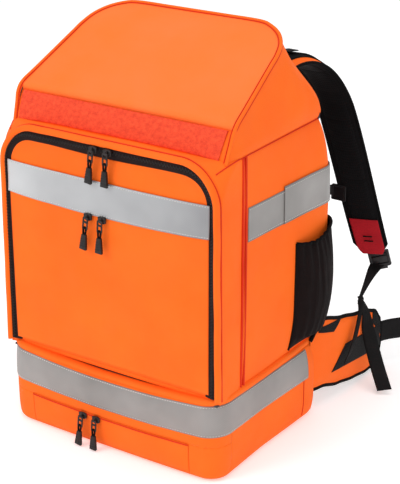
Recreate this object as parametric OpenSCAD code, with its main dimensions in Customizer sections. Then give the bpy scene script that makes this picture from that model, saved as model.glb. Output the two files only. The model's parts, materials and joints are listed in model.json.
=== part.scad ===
// Trauma backpack: a framed pack with a base compartment, a front door and a full harness.
// X runs across the pack, -Y is the front, +Y is the wearer's side and +Z is up.
// The origin is the centre of the underside of the base compartment.

/* [Base compartment] */
// Width of the base compartment
base_w = 400; // [340:1:480]
// Depth of the base compartment, front to back
base_d = 296; // [250:1:340]
// Height of the base compartment up to its piped lip
base_h = 130; // [120:1:150]
// Radius of the vertical corners of the base
base_r = 32; // [20:1:45]
// Thickness of the padded walls
wall = 5; // [3:0.5:6]
// Height of the zipped flap in the front of the base
flap_h = 50; // [40:1:58]
// Half the width of the zipped flap
flap_half = 150; // [110:1:160]

/* [Main body] */
// Height of the seam between the side panels and the hood
seam_z = 508; // [440:1:600]
// How much each side of the body is set in from the base
set_in = 2; // [0:0.5:8]
// Depth of the front chamber in front of the side panels
chamber_d = 68; // [50:1:90]
// How far the front rim stands out at each side
rim_out = 6; // [2:1:10]

/* [Front door] */
// Distance from the side of the body to the edge of the door
door_inset = 12; // [9:1:20]
// Height of the door's lower edge above the base's lip
door_lift = 8; // [8:1:25]
// Radius of the door's top corners
door_r = 48; // [30:1:70]
// Width of the zip tape round the door
zip_w = 9; // [6:1:12]
// Height of the lower edge of the band on the door
door_band_z = 402; // [360:1:410]
// Height of the reflective band on the door
door_band_h = 51; // [40:1:55]

/* [Hood] */
// Rise of the hood's front facet above the side seam
facet_rise = 49; // [35:1:60]
// Rise of the back of the lid above the side seam
lid_rise = 148; // [110:1:180]
// Half the width of the lid at its front
lid_front_half = 194; // [150:1:230]
// Half the width of the lid at its back
lid_back_half = 170; // [130:1:200]
// Radius of the lid's back corners
lid_r = 62; // [40:1:75]
// Width of the loop band on the front facet
loop_w = 42; // [25:1:44]

/* [Bands and pockets] */
// Lower edge of the reflective band round the base
base_band_z = 77; // [72:1:80]
// Height of the reflective band round the base
base_band_h = 50; // [30:1:52]
// Radius of the bottle pocket's mesh
pocket_r = 49; // [40:1:55]
// How far the bottle pocket stands out from the side
pocket_out = 32; // [25:1:38]
// Height of the bottle pocket
pocket_h = 195; // [150:1:210]

/* [Harness] */
// Width of a shoulder strap at its top
strap_w = 68; // [56:1:72]
// Width of a shoulder strap at its lower end
strap_end_w = 50; // [40:1:56]
// Thickness of a shoulder strap
strap_t = 16; // [10:1:20]
// Thickness of a hip fin
fin_t = 12; // [8:1:16]
// Outward lean of a hip fin in degrees
fin_lean = 4; // [0:1:8]
// Width of the hip belt webbing
belt_w = 40; // [38:1:50]
// Thickness of all webbing
web_t = 2; // [1.5:0.5:3]

/* [Zip sliders] */
// Distance between the two sliders of each zip
slider_gap = 26; // [24:1:32]
// Length of a slider along its zip
slider_l = 15; // [12:1:16]
// Length of a pull from its pivot to its end
pull_l = 52; // [44:1:54]

/* [Hidden] */
$fn = 48;

// Clearance between panels that are sewn together
seam = 0.2;
// Clearance between pieces that move past each other
gap = 0.5;
trim_t = 1.2;
front_y = -base_d / 2;
back_y = base_d / 2;
body_half = base_w / 2 - set_in;
shelf_t = 3;
lip_h = 8;
body_z = base_h + lip_h;
door_half = body_half - door_inset;
door_z = body_z + door_lift;
door_top = seam_z - door_inset;
door_front = front_y + 1;
door_skin = 2.5;
door_face = door_front - seam - door_skin;
chamber_y = front_y + chamber_d;
flap_z = 9;

// The lid lies in a plane that slopes up from the facet's top to the back.
lid_y = front_y + 45;
lid_z = seam_z + facet_rise;
lid_back_y = back_y - 50;
lid_run = lid_back_y - lid_y;
lid_slope = atan2(lid_rise - facet_rise, lid_run);
lid_len = norm([lid_run, lid_rise - facet_rise]);
lid_t = 4;
facet_y = front_y + 29;

// The harness hangs from the back of the hood.
strap_y = back_y + 8;
strap_z = seam_z + 37;
strap_x = 78;
strap_lean = [0.25, -0.25];
strap_route = concat(
    curve([strap_y, strap_z], [strap_y + 44, strap_z + 29], [strap_y + 129, strap_z + 38], [310, 480], 10),
    curve([311, 474], [322, 410], [325, 300], [336, 216], 8)
);
fin_y = back_y + 6;
fin_x = base_w / 2 + 1;
handle_y = back_y - 14;
handle_z = seam_z + 92;
handle_half = 42;
lifter_x = 62;
lifter_w = 18;
sternum = [139, 320, 318];
anchor = [fin_x + 27, fin_y + 78, 88];
bend = [fin_x + 24, fin_y + 104, 138];
knot = [fin_x + 15, fin_y + 118, 154];
fold = [fin_x + 25, fin_y + 126, 124];
ladder = [212, 350, 200];
tail_end = [282, 250, 7];
belt_z = 44;
belt_hinge = [fin_x + 22, fin_y + 200];
belt_end = belt_hinge + [39, 64];
belt_route = curve(belt_hinge, belt_hinge + [17, 24], belt_end - [0, 30], belt_end, 12);

// Points of a cubic curve through four control points
function curve(a, b, c, d, n) = [
    for (i = [0 : n])
        let (t = i / n, s = 1 - t)
        s * s * s * a + 3 * s * s * t * b + 3 * s * t * t * c + t * t * t * d
];

// Unit normal of a route at point i
function normal(p, i) =
    let (a = p[max(i - 1, 0)], b = p[min(i + 1, len(p) - 1)], d = (b - a) / norm(b - a))
    [-d[1], d[0]];

// Outline of a band of thickness t that follows a route
function band(p, t) = concat(
    [for (i = [0 : len(p) - 1]) p[i] + normal(p, i) * t / 2],
    [for (i = [len(p) - 1 : -1 : 0]) p[i] - normal(p, i) * t / 2]
);

module rounded(w, d, r) {
    for (x = [-1, 1])
        for (y = [-1, 1])
            translate([x * (w / 2 - r), y * (d / 2 - r)]) circle(r);
    square([w - 2 * r, d], center = true);
    square([w, d - 2 * r], center = true);
}

// Ring of wall thickness t inside a rounded outline that is grown by g
module ring(g, t) {
    difference() {
        rounded(base_w + 2 * g, base_d + 2 * g, base_r + g);
        rounded(base_w + 2 * g - 2 * t, base_d + 2 * g - 2 * t, max(base_r + g - t, 1));
    }
}

// Upright arch outline in the plane of the front, grown by g
module arch(g, bottom) {
    half = door_half + g;
    top = door_top + g;
    r = door_r + g;
    translate([-half, bottom]) square([2 * half, top - r - bottom]);
    translate([-half + r, bottom]) square([2 * (half - r), top - bottom]);
    for (x = [-1, 1]) translate([x * (half - r), top - r]) circle(r);
}

// Extrudes a front-facing outline from y backwards by t
module front_plate(y, t) {
    translate([0, y + t, 0]) rotate([90, 0, 0]) linear_extrude(t) children();
}

module mirrored(side) {
    if (side > 0) children();
    else mirror([1, 0, 0]) children();
}

// Flat box from a low corner to a high corner
module span(a, b) {
    translate(a) cube(b - a);
}

// ---- Base compartment ----

module base_floor() {
    color("orangered") linear_extrude(wall) rounded(base_w, base_d, base_r);
}

module base_board() {
    color("dimgray")
        translate([0, 0, wall + seam])
            linear_extrude(shelf_t)
                rounded(base_w - 2 * wall - 2, base_d - 2 * wall - 2, base_r - wall);
}

module base_wall() {
    color("orangered")
        translate([0, 0, wall + seam])
            linear_extrude(base_h - wall - seam)
                intersection() {
                    ring(0, wall);
                    translate([-base_w, front_y + base_r]) square([2 * base_w, base_d]);
                }
}

module base_front() {
    color("orangered")
        difference() {
            translate([0, 0, wall + seam])
                linear_extrude(base_h - wall - seam)
                    intersection() {
                        ring(0, wall);
                        translate([-base_w, front_y - 1])
                            square([2 * base_w, base_r + 1 - seam]);
                    }
            span([-flap_half - gap, front_y - 1, 0],
                 [flap_half + gap, front_y + wall + 1, flap_z + flap_h + gap]);
        }
}

module base_band() {
    color("silver")
        translate([0, 0, base_band_z])
            linear_extrude(base_band_h)
                intersection() {
                    ring(trim_t + seam, trim_t);
                    translate([-base_w, front_y - 5]) square([2 * base_w, base_d - 20]);
                }
}

module base_lip() {
    color("orangered")
        translate([0, 0, base_h + seam]) linear_extrude(lip_h - seam) ring(3, 3 + wall);
}

module base_flap() {
    color("orangered")
        span([-flap_half, front_y, flap_z],
             [flap_half, front_y + wall, flap_z + flap_h]);
}

module divider_shelf() {
    color("dimgray")
        translate([0, 0, base_h + seam])
            linear_extrude(shelf_t)
                rounded(base_w - 2 * wall - 1, base_d - 2 * wall - 1, base_r - wall);
}

// ---- Main body ----

module side_panel() {
    color("orangered")
        span([body_half - wall, chamber_y + seam, body_z + seam],
             [body_half, back_y, seam_z - seam]);
}

module side_left() {
    mirrored(-1) side_panel();
}

module side_right() {
    side_panel();
}

module back_wall() {
    color("black")
        span([-body_half + wall + seam, back_y - wall, body_z + seam],
             [body_half - wall - seam, back_y, seam_z - seam]);
}

module frame_sheet() {
    color("dimgray")
        span([-body_half + 45, back_y - wall - 2.2, body_z + seam],
             [body_half - 45, back_y - wall - seam, seam_z - 4]);
}

module frame_stays() {
    color("silver")
        for (x = [-60, 60])
            span([x - 12.5, back_y - wall - 5.4, body_z + 4],
                 [x + 12.5, back_y - wall - 2.4, seam_z - 12]);
}

module front_gusset() {
    color("orangered") {
        front_plate(front_y + wall, chamber_d - wall)
            difference() {
                arch(door_inset - seam, body_z + seam);
                translate([0, -1]) arch(door_inset - wall, body_z);
            }
        front_plate(front_y, wall)
            difference() {
                arch(door_inset + rim_out, body_z + seam);
                translate([0, door_lift]) arch(zip_w + seam, body_z);
                translate([0, -rim_out]) arch(zip_w + seam, door_z);
            }
    }
}

module zip_tape() {
    color("black")
        front_plate(front_y + 1, 2)
            difference() {
                arch(zip_w, door_z);
                arch(gap, door_z - 1);
            }
}

module hood_corners(inset) {
    half = body_half - inset;
    for (x = [-1, 1]) {
        for (y = [facet_y + inset, back_y - inset])
            translate([x * (half - 6), y + (y < 0 ? 6 : -6), seam_z + 3])
                cylinder(h = 6, r = 6, center = true);
        translate([x * (half - 12), back_y - inset - 11, seam_z + 32]) sphere(6);
    }
}

// Solid of the hood under the lid, drawn in by inset on every side but the bottom
module hood_mass(inset) {
    hull() {
        hood_corners(inset);
        translate([0, lid_y, lid_z])
            rotate([lid_slope, 0, 0])
                translate([0, 0, -lid_t - seam - inset - 1])
                    linear_extrude(1) lid_outline(inset + 1);
    }
}

module hood() {
    color("orangered")
        difference() {
            hood_mass(0);
            difference() {
                translate([0, 0, -0.01]) hood_mass(wall);
                translate([0, 0, seam_z - 100]) cube([900, 900, 2], center = true);
            }
            translate([0, 0, seam_z - 10]) cube([900, 900, 20], center = true);
        }
}

// Lid outline in its own sloping plane: straight sides and rounded back corners
module lid_outline(inset) {
    hull() {
        for (x = [-1, 1]) {
            translate([x * (lid_front_half - inset - 4), inset + 4]) circle(4);
            translate([x * (lid_back_half - inset - lid_r), lid_len - inset - lid_r])
                circle(lid_r);
        }
    }
}

module on_lid() {
    translate([0, lid_y, lid_z]) rotate([lid_slope, 0, 0]) children();
}

module lid() {
    color("coral") on_lid() translate([0, 0, -lid_t]) linear_extrude(lid_t) lid_outline(0);
}

module lid_piping() {
    color("orangered")
        on_lid()
            translate([0, 0, -lid_t])
                linear_extrude(lid_t + 1)
                    difference() {
                        lid_outline(-3);
                        lid_outline(-seam);
                        translate([-base_w, -20]) square([2 * base_w, 26]);
                    }
}

module loop_band() {
    facet_angle = atan2(lid_z - seam_z - 6, lid_y - facet_y);
    color("tomato")
        translate([0, facet_y, seam_z + 6])
            rotate([facet_angle, 0, 0])
                translate([-lid_front_half + 8, 1, 3])
                    cube([2 * lid_front_half - 16, loop_w, 2]);
}

module side_bands() {
    color("silver")
        for (side = [-1, 1])
            mirrored(side) {
                span([body_half + seam, chamber_y + 12, seam_z - 134],
                     [body_half + seam + trim_t, 21.8, seam_z - 80]);
                span([body_half + seam, 22, seam_z - 134],
                     [body_half + seam + 2, back_y - 5, seam_z - 75]);
            }
}

module mesh_pocket() {
    centre_x = body_half + pocket_out - pocket_r;
    pocket_z = body_z + 7;
    color("black")
        translate([centre_x, back_y - 46, pocket_z])
            intersection() {
                difference() {
                    cylinder(h = pocket_h, r = pocket_r, $fn = 96);
                    translate([0, 0, 2]) cylinder(h = pocket_h, r = pocket_r - 2, $fn = 96);
                }
                translate([body_half + seam - centre_x, -100, -1])
                    cube([100, 200, pocket_h + 2]);
            }
}

module mesh_pocket_left() {
    mirrored(-1) mesh_pocket();
}

module mesh_pocket_right() {
    mesh_pocket();
}

// Two upper pads and a lumbar pad, each a separate cushion
module back_pads() {
    color("black") {
        for (x = [-70, 70])
            translate([x, back_y + seam + 18, 370])
                rotate([90, 0, 0]) linear_extrude(18) rounded(84, 210, 14);
        translate([0, back_y + 3 + seam + 22, 140])
            rotate([90, 0, 0]) linear_extrude(22) rounded(236, 150, 18);
    }
}

module grab_handle() {
    color("black")
        translate([0, handle_y, handle_z - 12])
            linear_extrude(24)
                difference() {
                    translate([0, 10]) rounded(2 * handle_half + 4, 64, 20);
                    translate([0, 10]) rounded(2 * handle_half - 2, 58, 17);
                    translate([-100, -100]) square([200, 100]);
                }
}

// ---- Front door ----

module door_panel() {
    color("orangered") front_plate(door_front, wall) arch(0, door_z);
}

module door_pocket() {
    color("orangered")
        front_plate(door_face, door_skin)
            translate([-door_half + 3, door_z + 5])
                square([2 * door_half - 6, door_band_z - door_z - 5 - seam]);
}

module door_band() {
    color("silver")
        front_plate(door_face, door_skin)
            intersection() {
                arch(-1, door_z);
                translate([-base_w, door_band_z]) square([2 * base_w, door_band_h]);
            }
}

// ---- Zip sliders and pulls ----

// Slider body with a bridge, its back face on the plane y = 0
module slider() {
    difference() {
        translate([-slider_l / 2, -6, -5]) cube([slider_l, 6, 10]);
        translate([-3, -4, -6]) cube([6, 2, 12]);
    }
}

// Pull that hangs from its pivot: metal tab with a hole, cord and moulded grip
module pull() {
    tab_l = 18;
    grip_l = 23;
    translate([-4.5, -9, -tab_l]) difference() {
        cube([9, 1.6, tab_l]);
        translate([2.5, -1, 3]) cube([4, 4, 9]);
    }
    translate([-1, -9.2, -(pull_l - grip_l) - 1]) cube([2, 2, pull_l - grip_l - tab_l + 2]);
    translate([-4, -10.5, -pull_l]) cube([8, 4, grip_l]);
}

module front_slider(side) {
    color("dimgray") translate([slider_x(side), front_y - 0.6, door_top + 4]) slider();
}

module front_pull(side) {
    color("black") translate([slider_x(side), front_y - 0.6, door_top + 4]) pull();
}

module pocket_slider(side) {
    color("dimgray") translate([slider_x(side) - 10, door_face - gap, door_band_z - 8]) slider();
}

module pocket_pull(side) {
    color("black") translate([slider_x(side) - 10, door_face - gap, door_band_z - 8]) pull();
}

module base_slider(side) {
    color("dimgray")
        translate([slider_x(side) - 29, front_y - gap, flap_z + flap_h - 5]) slider();
}

module base_pull(side) {
    color("black")
        translate([slider_x(side) - 29, front_y - gap, flap_z + flap_h - 5])
            scale(0.9) pull();
}

function slider_x(side) = side * slider_gap / 2 - 3;

// ---- Harness ----

// Point of the shoulder strap's middle line above a point of its side outline
function leaned(q) = [
    strap_x + strap_lean[0] * (q[0] - strap_y) + strap_lean[1] * (q[1] - strap_z), q[0], q[1]
];

// Corners of a strap's section at point i of its route
function section(i, t) =
    let (
        c = leaned(strap_route[i]),
        n = normal(strap_route, i) * t / 2,
        w = strap_w + (strap_end_w - strap_w) * i / (len(strap_route) - 1)
    )
    [
        c + [-w / 2, n[0], n[1]], c + [w / 2, n[0], n[1]],
        c + [w / 2, -n[0], -n[1]], c + [-w / 2, -n[0], -n[1]]
    ];

module strap() {
    last = len(strap_route) - 1;
    color("black")
        polyhedron(
            points = [for (i = [0 : last]) each section(i, strap_t)],
            faces = concat(
                [[3, 2, 1, 0], [for (k = [0 : 3]) 4 * last + k]],
                [for (i = [0 : last - 1], k = [0 : 3])
                    let (a = 4 * i + k, b = 4 * i + (k + 1) % 4) each [[a, b, b + 4], [a, b + 4, a + 4]]]
            ),
            convexity = 6
        );
}

module tab() {
    color("firebrick")
        translate(leaned([322, 240]))
            rotate([6, 0, 0])
                translate([-21, -2.4, -24]) cube([42, 2, 48]);
}

module ladder_lock() {
    color("black")
        translate(ladder)
            difference() {
                translate([-17, -5, -13]) cube([34, 9, 26]);
                for (z = [-8, 2]) translate([-13, -6, z]) cube([26, 12, 6]);
            }
}

// Webbing piece between two points, w wide along X at each end
module strand(a, b, w) {
    hull() {
        translate(a) cube([w, web_t, web_t], center = true);
        translate(b) cube([w, web_t, web_t], center = true);
    }
}

// Webbing piece between two points, w wide along Y at each end
module ribbon(a, b, w) {
    hull() {
        translate(a) cube([web_t, w, web_t], center = true);
        translate(b) cube([web_t, w, web_t], center = true);
    }
}

// Anchor wing from the pack's corner, webbing up to the ladder lock, and its free tail
module strap_web() {
    color("black") {
        hull() {
            translate([fin_x + 20, fin_y + 2, 84]) cube([2, 2, 100], center = true);
            translate(anchor) cube([2, 2, 12], center = true);
        }
        ribbon(anchor, bend, 16);
        ribbon(bend, knot, 8);
        strand(knot, ladder + [4, -3, -16], 18);
        ribbon(knot, fold, 12);
        ribbon(fold, tail_end, 25);
    }
}

module lifter() {
    color("black")
        hull() {
            translate([lifter_x, back_y - 12, handle_z - 2])
                cube([lifter_w, web_t, web_t], center = true);
            translate([strap_x + 18, strap_y + 80, strap_z + 34])
                cube([lifter_w, web_t, web_t], center = true);
        }
}

module lifter_buckles() {
    color("black")
        for (side = [-1, 1])
            mirrored(side)
                translate([lifter_x, back_y - 21, handle_z])
                    difference() {
                        translate([-13, -3, -9]) cube([26, 7, 18]);
                        translate([-10, -4, -3]) cube([20, 9, 6]);
                    }
}

module sternum_web() {
    color("black")
        translate(sternum) {
            translate([-32, -web_t / 2, -10]) cube([32, web_t, 20]);
            translate([-32, -web_t / 2, -85]) cube([20, web_t, 86]);
        }
}

module sternum_socket() {
    color("black")
        mirrored(-1)
            translate(sternum + [-35, -5, -116])
                difference() {
                    cube([26, 10, 30.8]);
                    translate([4, 2.5, -1]) cube([18, 5, 22]);
                }
}

module sternum_plug() {
    color("black")
        translate(sternum + [-22, 0, -85 - seam]) {
            translate([-13, -4, -14]) cube([26, 8, 14]);
            for (x = [-8, 0, 8]) translate([x - 1.5, -2, -32]) cube([3, 4, 19]);
        }
}

// Padded fin: an upright plate whose top edge steps down to a rounded tip
module fin() {
    color("orangered")
        translate([fin_x, fin_y, 0])
            rotate([0, 0, -fin_lean])
                translate([0, 6, 0])
                    rotate([90, 0, 90])
                        linear_extrude(fin_t)
                            polygon(concat(
                                [[0, 162], [57, 142], [106, 130]],
                                curve([136, 122], [182, 116], [188, 92], [188, 38], 6),
                                [[182, 10], [140, 6], [49, 21], [0, 36]]
                            ));
}

module belt() {
    color("black")
        translate([0, 0, belt_z]) linear_extrude(belt_w) polygon(band(belt_route, web_t));
}

module belt_socket() {
    color("black")
        mirrored(-1)
            translate([belt_end[0] - 6.5, belt_end[1] + seam, belt_z - 5])
                difference() {
                    cube([13, 62, belt_w + 10]);
                    translate([3, 20, 6]) cube([7, 43, belt_w - 2]);
                }
}

module belt_plug() {
    color("black")
        translate([belt_end[0] - 4.5, belt_end[1] + seam, belt_z - 5]) {
            cube([9, 38, belt_w + 10]);
            for (z = [8, (belt_w + 10) / 2 - 3, belt_w - 4])
                translate([1.5, 37, z]) cube([6, 34, 6]);
        }
}

base_floor();
base_board();
base_wall();
base_front();
base_band();
base_lip();
base_flap();
divider_shelf();
side_left();
side_right();
back_wall();
frame_sheet();
frame_stays();
front_gusset();
zip_tape();
hood();
lid();
lid_piping();
loop_band();
side_bands();
mesh_pocket_left();
mesh_pocket_right();
back_pads();
grab_handle();
door_panel();
door_pocket();
door_band();
mirrored(-1) strap();  // strap_left
strap();  // strap_right
mirrored(-1) tab();  // tab_left
tab();  // tab_right
mirrored(-1) ladder_lock();  // ladder_left
ladder_lock();  // ladder_right
mirrored(-1) strap_web();  // strap_web_left
strap_web();  // strap_web_right
mirrored(-1) lifter();  // lifter_left
lifter();  // lifter_right
lifter_buckles();
mirrored(-1) sternum_web();  // sternum_web_left
sternum_web();  // sternum_web_right
sternum_socket();
sternum_plug();
mirrored(-1) fin();  // fin_left
fin();  // fin_right
mirrored(-1) belt();  // belt_left
belt();  // belt_right
belt_socket();
belt_plug();
front_slider(-1);  // front_slider_left
front_slider(1);  // front_slider_right
pocket_slider(-1);  // pocket_slider_left
pocket_slider(1);  // pocket_slider_right
base_slider(-1);  // base_slider_left
base_slider(1);  // base_slider_right
front_pull(-1);  // front_pull_left
front_pull(1);  // front_pull_right
pocket_pull(-1);  // pocket_pull_left
pocket_pull(1);  // pocket_pull_right
base_pull(-1);  // base_pull_left
base_pull(1);  // base_pull_right
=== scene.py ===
"""Trauma backpack: soft shell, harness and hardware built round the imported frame."""

import json
import logging
import math
from dataclasses import dataclass
from enum import Enum
from typing import Callable, Sequence

import bmesh
import bpy
from mathutils import Matrix, Vector, noise

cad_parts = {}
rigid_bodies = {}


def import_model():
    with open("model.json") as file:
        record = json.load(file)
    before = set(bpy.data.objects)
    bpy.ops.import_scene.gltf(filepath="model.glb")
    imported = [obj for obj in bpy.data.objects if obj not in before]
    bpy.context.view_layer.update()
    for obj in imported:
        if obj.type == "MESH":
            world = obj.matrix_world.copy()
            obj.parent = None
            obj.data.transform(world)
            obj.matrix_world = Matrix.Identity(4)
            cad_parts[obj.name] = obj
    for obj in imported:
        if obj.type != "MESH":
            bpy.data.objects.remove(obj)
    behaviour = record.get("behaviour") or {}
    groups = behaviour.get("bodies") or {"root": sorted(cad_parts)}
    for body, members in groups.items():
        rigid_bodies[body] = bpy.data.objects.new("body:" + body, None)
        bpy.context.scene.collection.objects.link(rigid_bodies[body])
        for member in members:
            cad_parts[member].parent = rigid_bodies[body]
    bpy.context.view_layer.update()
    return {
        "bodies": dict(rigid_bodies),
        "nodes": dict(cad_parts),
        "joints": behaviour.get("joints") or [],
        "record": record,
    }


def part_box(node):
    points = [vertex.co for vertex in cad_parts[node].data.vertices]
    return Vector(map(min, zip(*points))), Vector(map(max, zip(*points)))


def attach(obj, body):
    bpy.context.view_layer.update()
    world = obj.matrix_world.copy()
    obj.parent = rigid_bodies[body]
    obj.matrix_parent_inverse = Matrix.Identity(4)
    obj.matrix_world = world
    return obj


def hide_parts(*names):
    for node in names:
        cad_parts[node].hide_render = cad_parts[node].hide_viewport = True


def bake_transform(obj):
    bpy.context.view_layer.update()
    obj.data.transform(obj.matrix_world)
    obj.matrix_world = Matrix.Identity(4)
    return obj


LOG = logging.getLogger("backpack")
MM = 0.001
TAU = 2 * math.pi
# Length, width and height of one stitch
STITCH = (3.2 * MM, 1.3 * MM, 1.3 * MM)
# A wave texture of this scale has one band a metre
WAVE_SCALE = 0.314159
# How far a load lifter is from the middle, in millimetres
LIFTER_X = 62
Place = Callable[[float, float], Vector]
Colour = tuple[float, float, float]


class Side(Enum):
    """Which side of the pack a piece belongs to, facing the front."""

    LEFT = -1
    RIGHT = 1

    @property
    def label(self) -> str:
        """The word that the frame's names end with."""
        return self.name.lower()


# ---------------------------------------------------------------- helpers


def mm(x: float, y: float, z: float) -> Vector:
    """A point given in millimetres."""
    return Vector((x, y, z)) * MM


def mix(a: float, b: float, t: float) -> float:
    """The value a share t of the way from a to b."""
    return a + (b - a) * t


def soft(t: float) -> float:
    """Eases 0..1 so that a grid's rows crowd towards both ends."""
    return 0.5 - 0.5 * math.cos(math.pi * t)


def dome(t: float, power: float = 2.0) -> float:
    """1 in the middle of 0..1 and 0 at both ends; a higher power is flatter on top."""
    return max(0.0, 1 - abs(2 * t - 1) ** power)


def ruck(p: Vector, size: float, depth: float, seed: float = 0.0) -> float:
    """Height of soft cloth rucks at a point.

    Args:
        p: the point, in metres.
        size: width of a ruck, in metres.
        depth: height of a ruck, in metres.
        seed: moves the pattern.

    Returns:
        A signed height, in metres.
    """
    q = p / size + Vector((seed, seed * 1.7, -seed))
    return depth * (noise.noise(q) + 0.45 * noise.noise(q * 2.3))


class Outline:
    """A run of points that can be read at any share of its length."""

    def __init__(self, points: Sequence[Vector]) -> None:
        """Measures the run.

        Args:
            points: the points in order, in metres.
        """
        self.points = [Vector(p) for p in points]
        self.marks = [0.0]
        for a, b in zip(self.points, self.points[1:]):
            self.marks.append(self.marks[-1] + (b - a).length)
        self.length = self.marks[-1]

    def at(self, share: float) -> Vector:
        """The point at a share 0..1 of the length."""
        want = min(max(share, 0.0), 1.0) * self.length
        low, high = 0, len(self.marks) - 1
        while high - low > 1:
            middle = (low + high) // 2
            if self.marks[middle] <= want:
                low = middle
            else:
                high = middle
        span = self.marks[high] - self.marks[low]
        return self.points[low].lerp(self.points[high], (want - self.marks[low]) / max(span, 1e-9))

    def along(self, share: float) -> Vector:
        """The unit tangent at a share 0..1 of the length."""
        step = 0.004
        return (self.at(share + step) - self.at(share - step)).normalized()


def arc(x: float, y: float, r: float, start: float, end: float, n: int = 10) -> list[tuple[float, float]]:
    """Points on a circle's arc.

    Args:
        x: centre's first coordinate.
        y: centre's second coordinate.
        r: radius.
        start: first angle in degrees.
        end: last angle in degrees.
        n: number of steps.

    Returns:
        n + 1 pairs.
    """
    angles = [math.radians(mix(start, end, i / n)) for i in range(n + 1)]
    return [(x + r * math.cos(a), y + r * math.sin(a)) for a in angles]


def smooth_run(points: Sequence[Vector], steps: int = 8) -> list[Vector]:
    """A curve that passes through every given point, with steps pieces between two of them."""
    p = [points[0] * 2 - points[1], *points, points[-1] * 2 - points[-2]]
    run = []
    for i in range(1, len(p) - 2):
        for k in range(steps):
            t = k / steps
            a, b, c, d = p[i - 1], p[i], p[i + 1], p[i + 2]
            run.append(
                0.5
                * (
                    b * 2
                    + (c - a) * t
                    + (a * 2 - b * 5 + c * 4 - d) * t * t
                    + (b * 3 - a - c * 3 + d) * t * t * t
                )
            )
    return [*run, points[-1].copy()]


def read_run(points: Sequence[Vector], share: float) -> Vector:
    """The point at a share 0..1 of the number of points, so that two runs can be read in step."""
    count = len(points) - 1
    index = min(int(share * count), count - 1)
    return points[index].lerp(points[index + 1], share * count - index)


def make_object(name: str, bm: bmesh.types.BMesh) -> bpy.types.Object:
    """Turns a bmesh into a linked, smoothly shaded object.

    Args:
        name: the object's name.
        bm: the finished bmesh, which is freed.

    Returns:
        The object, at the origin.
    """
    mesh = bpy.data.meshes.new(name)
    for face in bm.faces:
        face.smooth = True
    bm.to_mesh(mesh)
    bm.free()
    piece = bpy.data.objects.new(name, mesh)
    bpy.context.scene.collection.objects.link(piece)
    return piece


def grid(bm: bmesh.types.BMesh, columns: int, rows: int, place: Place, size: tuple[float, float]) -> list:
    """Adds a grid that is laid along a surface.

    Args:
        bm: the bmesh to add to.
        columns: steps along u.
        rows: steps along v.
        place: gives the point at u, v, both 0..1.
        size: the surface's length along u and v in metres, for its weave.

    Returns:
        The new faces.
    """
    layer = bm.loops.layers.uv.verify()
    made = bmesh.ops.create_grid(bm, x_segments=columns, y_segments=rows, size=0.5)["verts"]
    faces = list({face for vert in made for face in vert.link_faces})
    for face in faces:
        for loop in face.loops:
            co = loop.vert.co
            loop[layer].uv = ((co.x + 0.5) * size[0], (co.y + 0.5) * size[1])
    for vert in made:
        vert.co = place(vert.co.x + 0.5, vert.co.y + 0.5)
    return faces


def sheet(name: str, columns: int, rows: int, place: Place, size: tuple[float, float]) -> bpy.types.Object:
    """One cloth surface as an object, facing along u cross v."""
    bm = bmesh.new()
    grid(bm, columns, rows, place, size)
    bmesh.ops.remove_doubles(bm, verts=bm.verts, dist=1e-5)
    return make_object(name, bm)


def pillow(
    name: str,
    columns: int,
    rows: int,
    middle: Place,
    lift: Callable[[float, float, int], Vector],
    size: tuple[float, float],
) -> bpy.types.Object:
    """A closed padded piece: two grids that meet along their edge.

    Args:
        name: the object's name.
        columns: steps along u.
        rows: steps along v.
        middle: the middle surface.
        lift: how far a face stands off the middle at u, v, on side 1 or -1.
        size: the surface's length along u and v, in metres.

    Returns:
        The closed object.
    """
    bm = bmesh.new()
    for way in (1, -1):
        faces = grid(
            bm,
            columns,
            rows,
            lambda u, v, way=way: middle(soft(u), soft(v)) + lift(soft(u), soft(v), way),
            size,
        )
        if way < 0:
            bmesh.ops.reverse_faces(bm, faces=faces)
            for face in faces:
                face.material_index = 1
    bmesh.ops.remove_doubles(bm, verts=bm.verts, dist=2e-5)
    return make_object(name, bm)


def settle(piece: bpy.types.Object) -> bpy.types.Object:
    """Applies a piece's modifiers, so that its mesh is final."""
    graph = bpy.context.evaluated_depsgraph_get()
    mesh = bpy.data.meshes.new_from_object(piece.evaluated_get(graph))
    piece.modifiers.clear()
    old = piece.data
    piece.data = mesh
    bpy.data.meshes.remove(old)
    mesh.name = piece.name
    return piece


def thicken(piece: bpy.types.Object, depth: float, offset: float = -1.0) -> bpy.types.Object:
    """Gives a cloth surface its thickness and its own inner finish.

    Args:
        piece: the surface.
        depth: its thickness, in metres.
        offset: -1 thickens inwards, 1 outwards and 0 both ways.

    Returns:
        The same piece, with its mesh final.
    """
    while len(piece.data.materials) < 2:
        piece.data.materials.append(None)
    wall = piece.modifiers.new("wall", "SOLIDIFY")
    wall.thickness = depth
    wall.offset = offset
    wall.use_even_offset = False
    wall.material_offset = 1
    return settle(piece)


def piping(name: str, run: Sequence[Vector], radius: float, sides: int = 3) -> bpy.types.Object:
    """A round cord of cloth sewn along a run of points."""
    curve = bpy.data.curves.new(name, "CURVE")
    curve.dimensions = "3D"
    curve.bevel_depth = radius
    curve.bevel_resolution = sides
    curve.use_fill_caps = True
    spline = curve.splines.new("POLY")
    spline.points.add(len(run) - 1)
    for point, co in zip(spline.points, run):
        point.co = (*co, 1)
    rough = bpy.data.objects.new(name, curve)
    mesh = bpy.data.meshes.new_from_object(rough)
    bpy.data.objects.remove(rough)
    bpy.data.curves.remove(curve)
    mesh.name = name
    for face in mesh.polygons:
        face.use_smooth = True
    piece = bpy.data.objects.new(name, mesh)
    bpy.context.scene.collection.objects.link(piece)
    return piece


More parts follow.
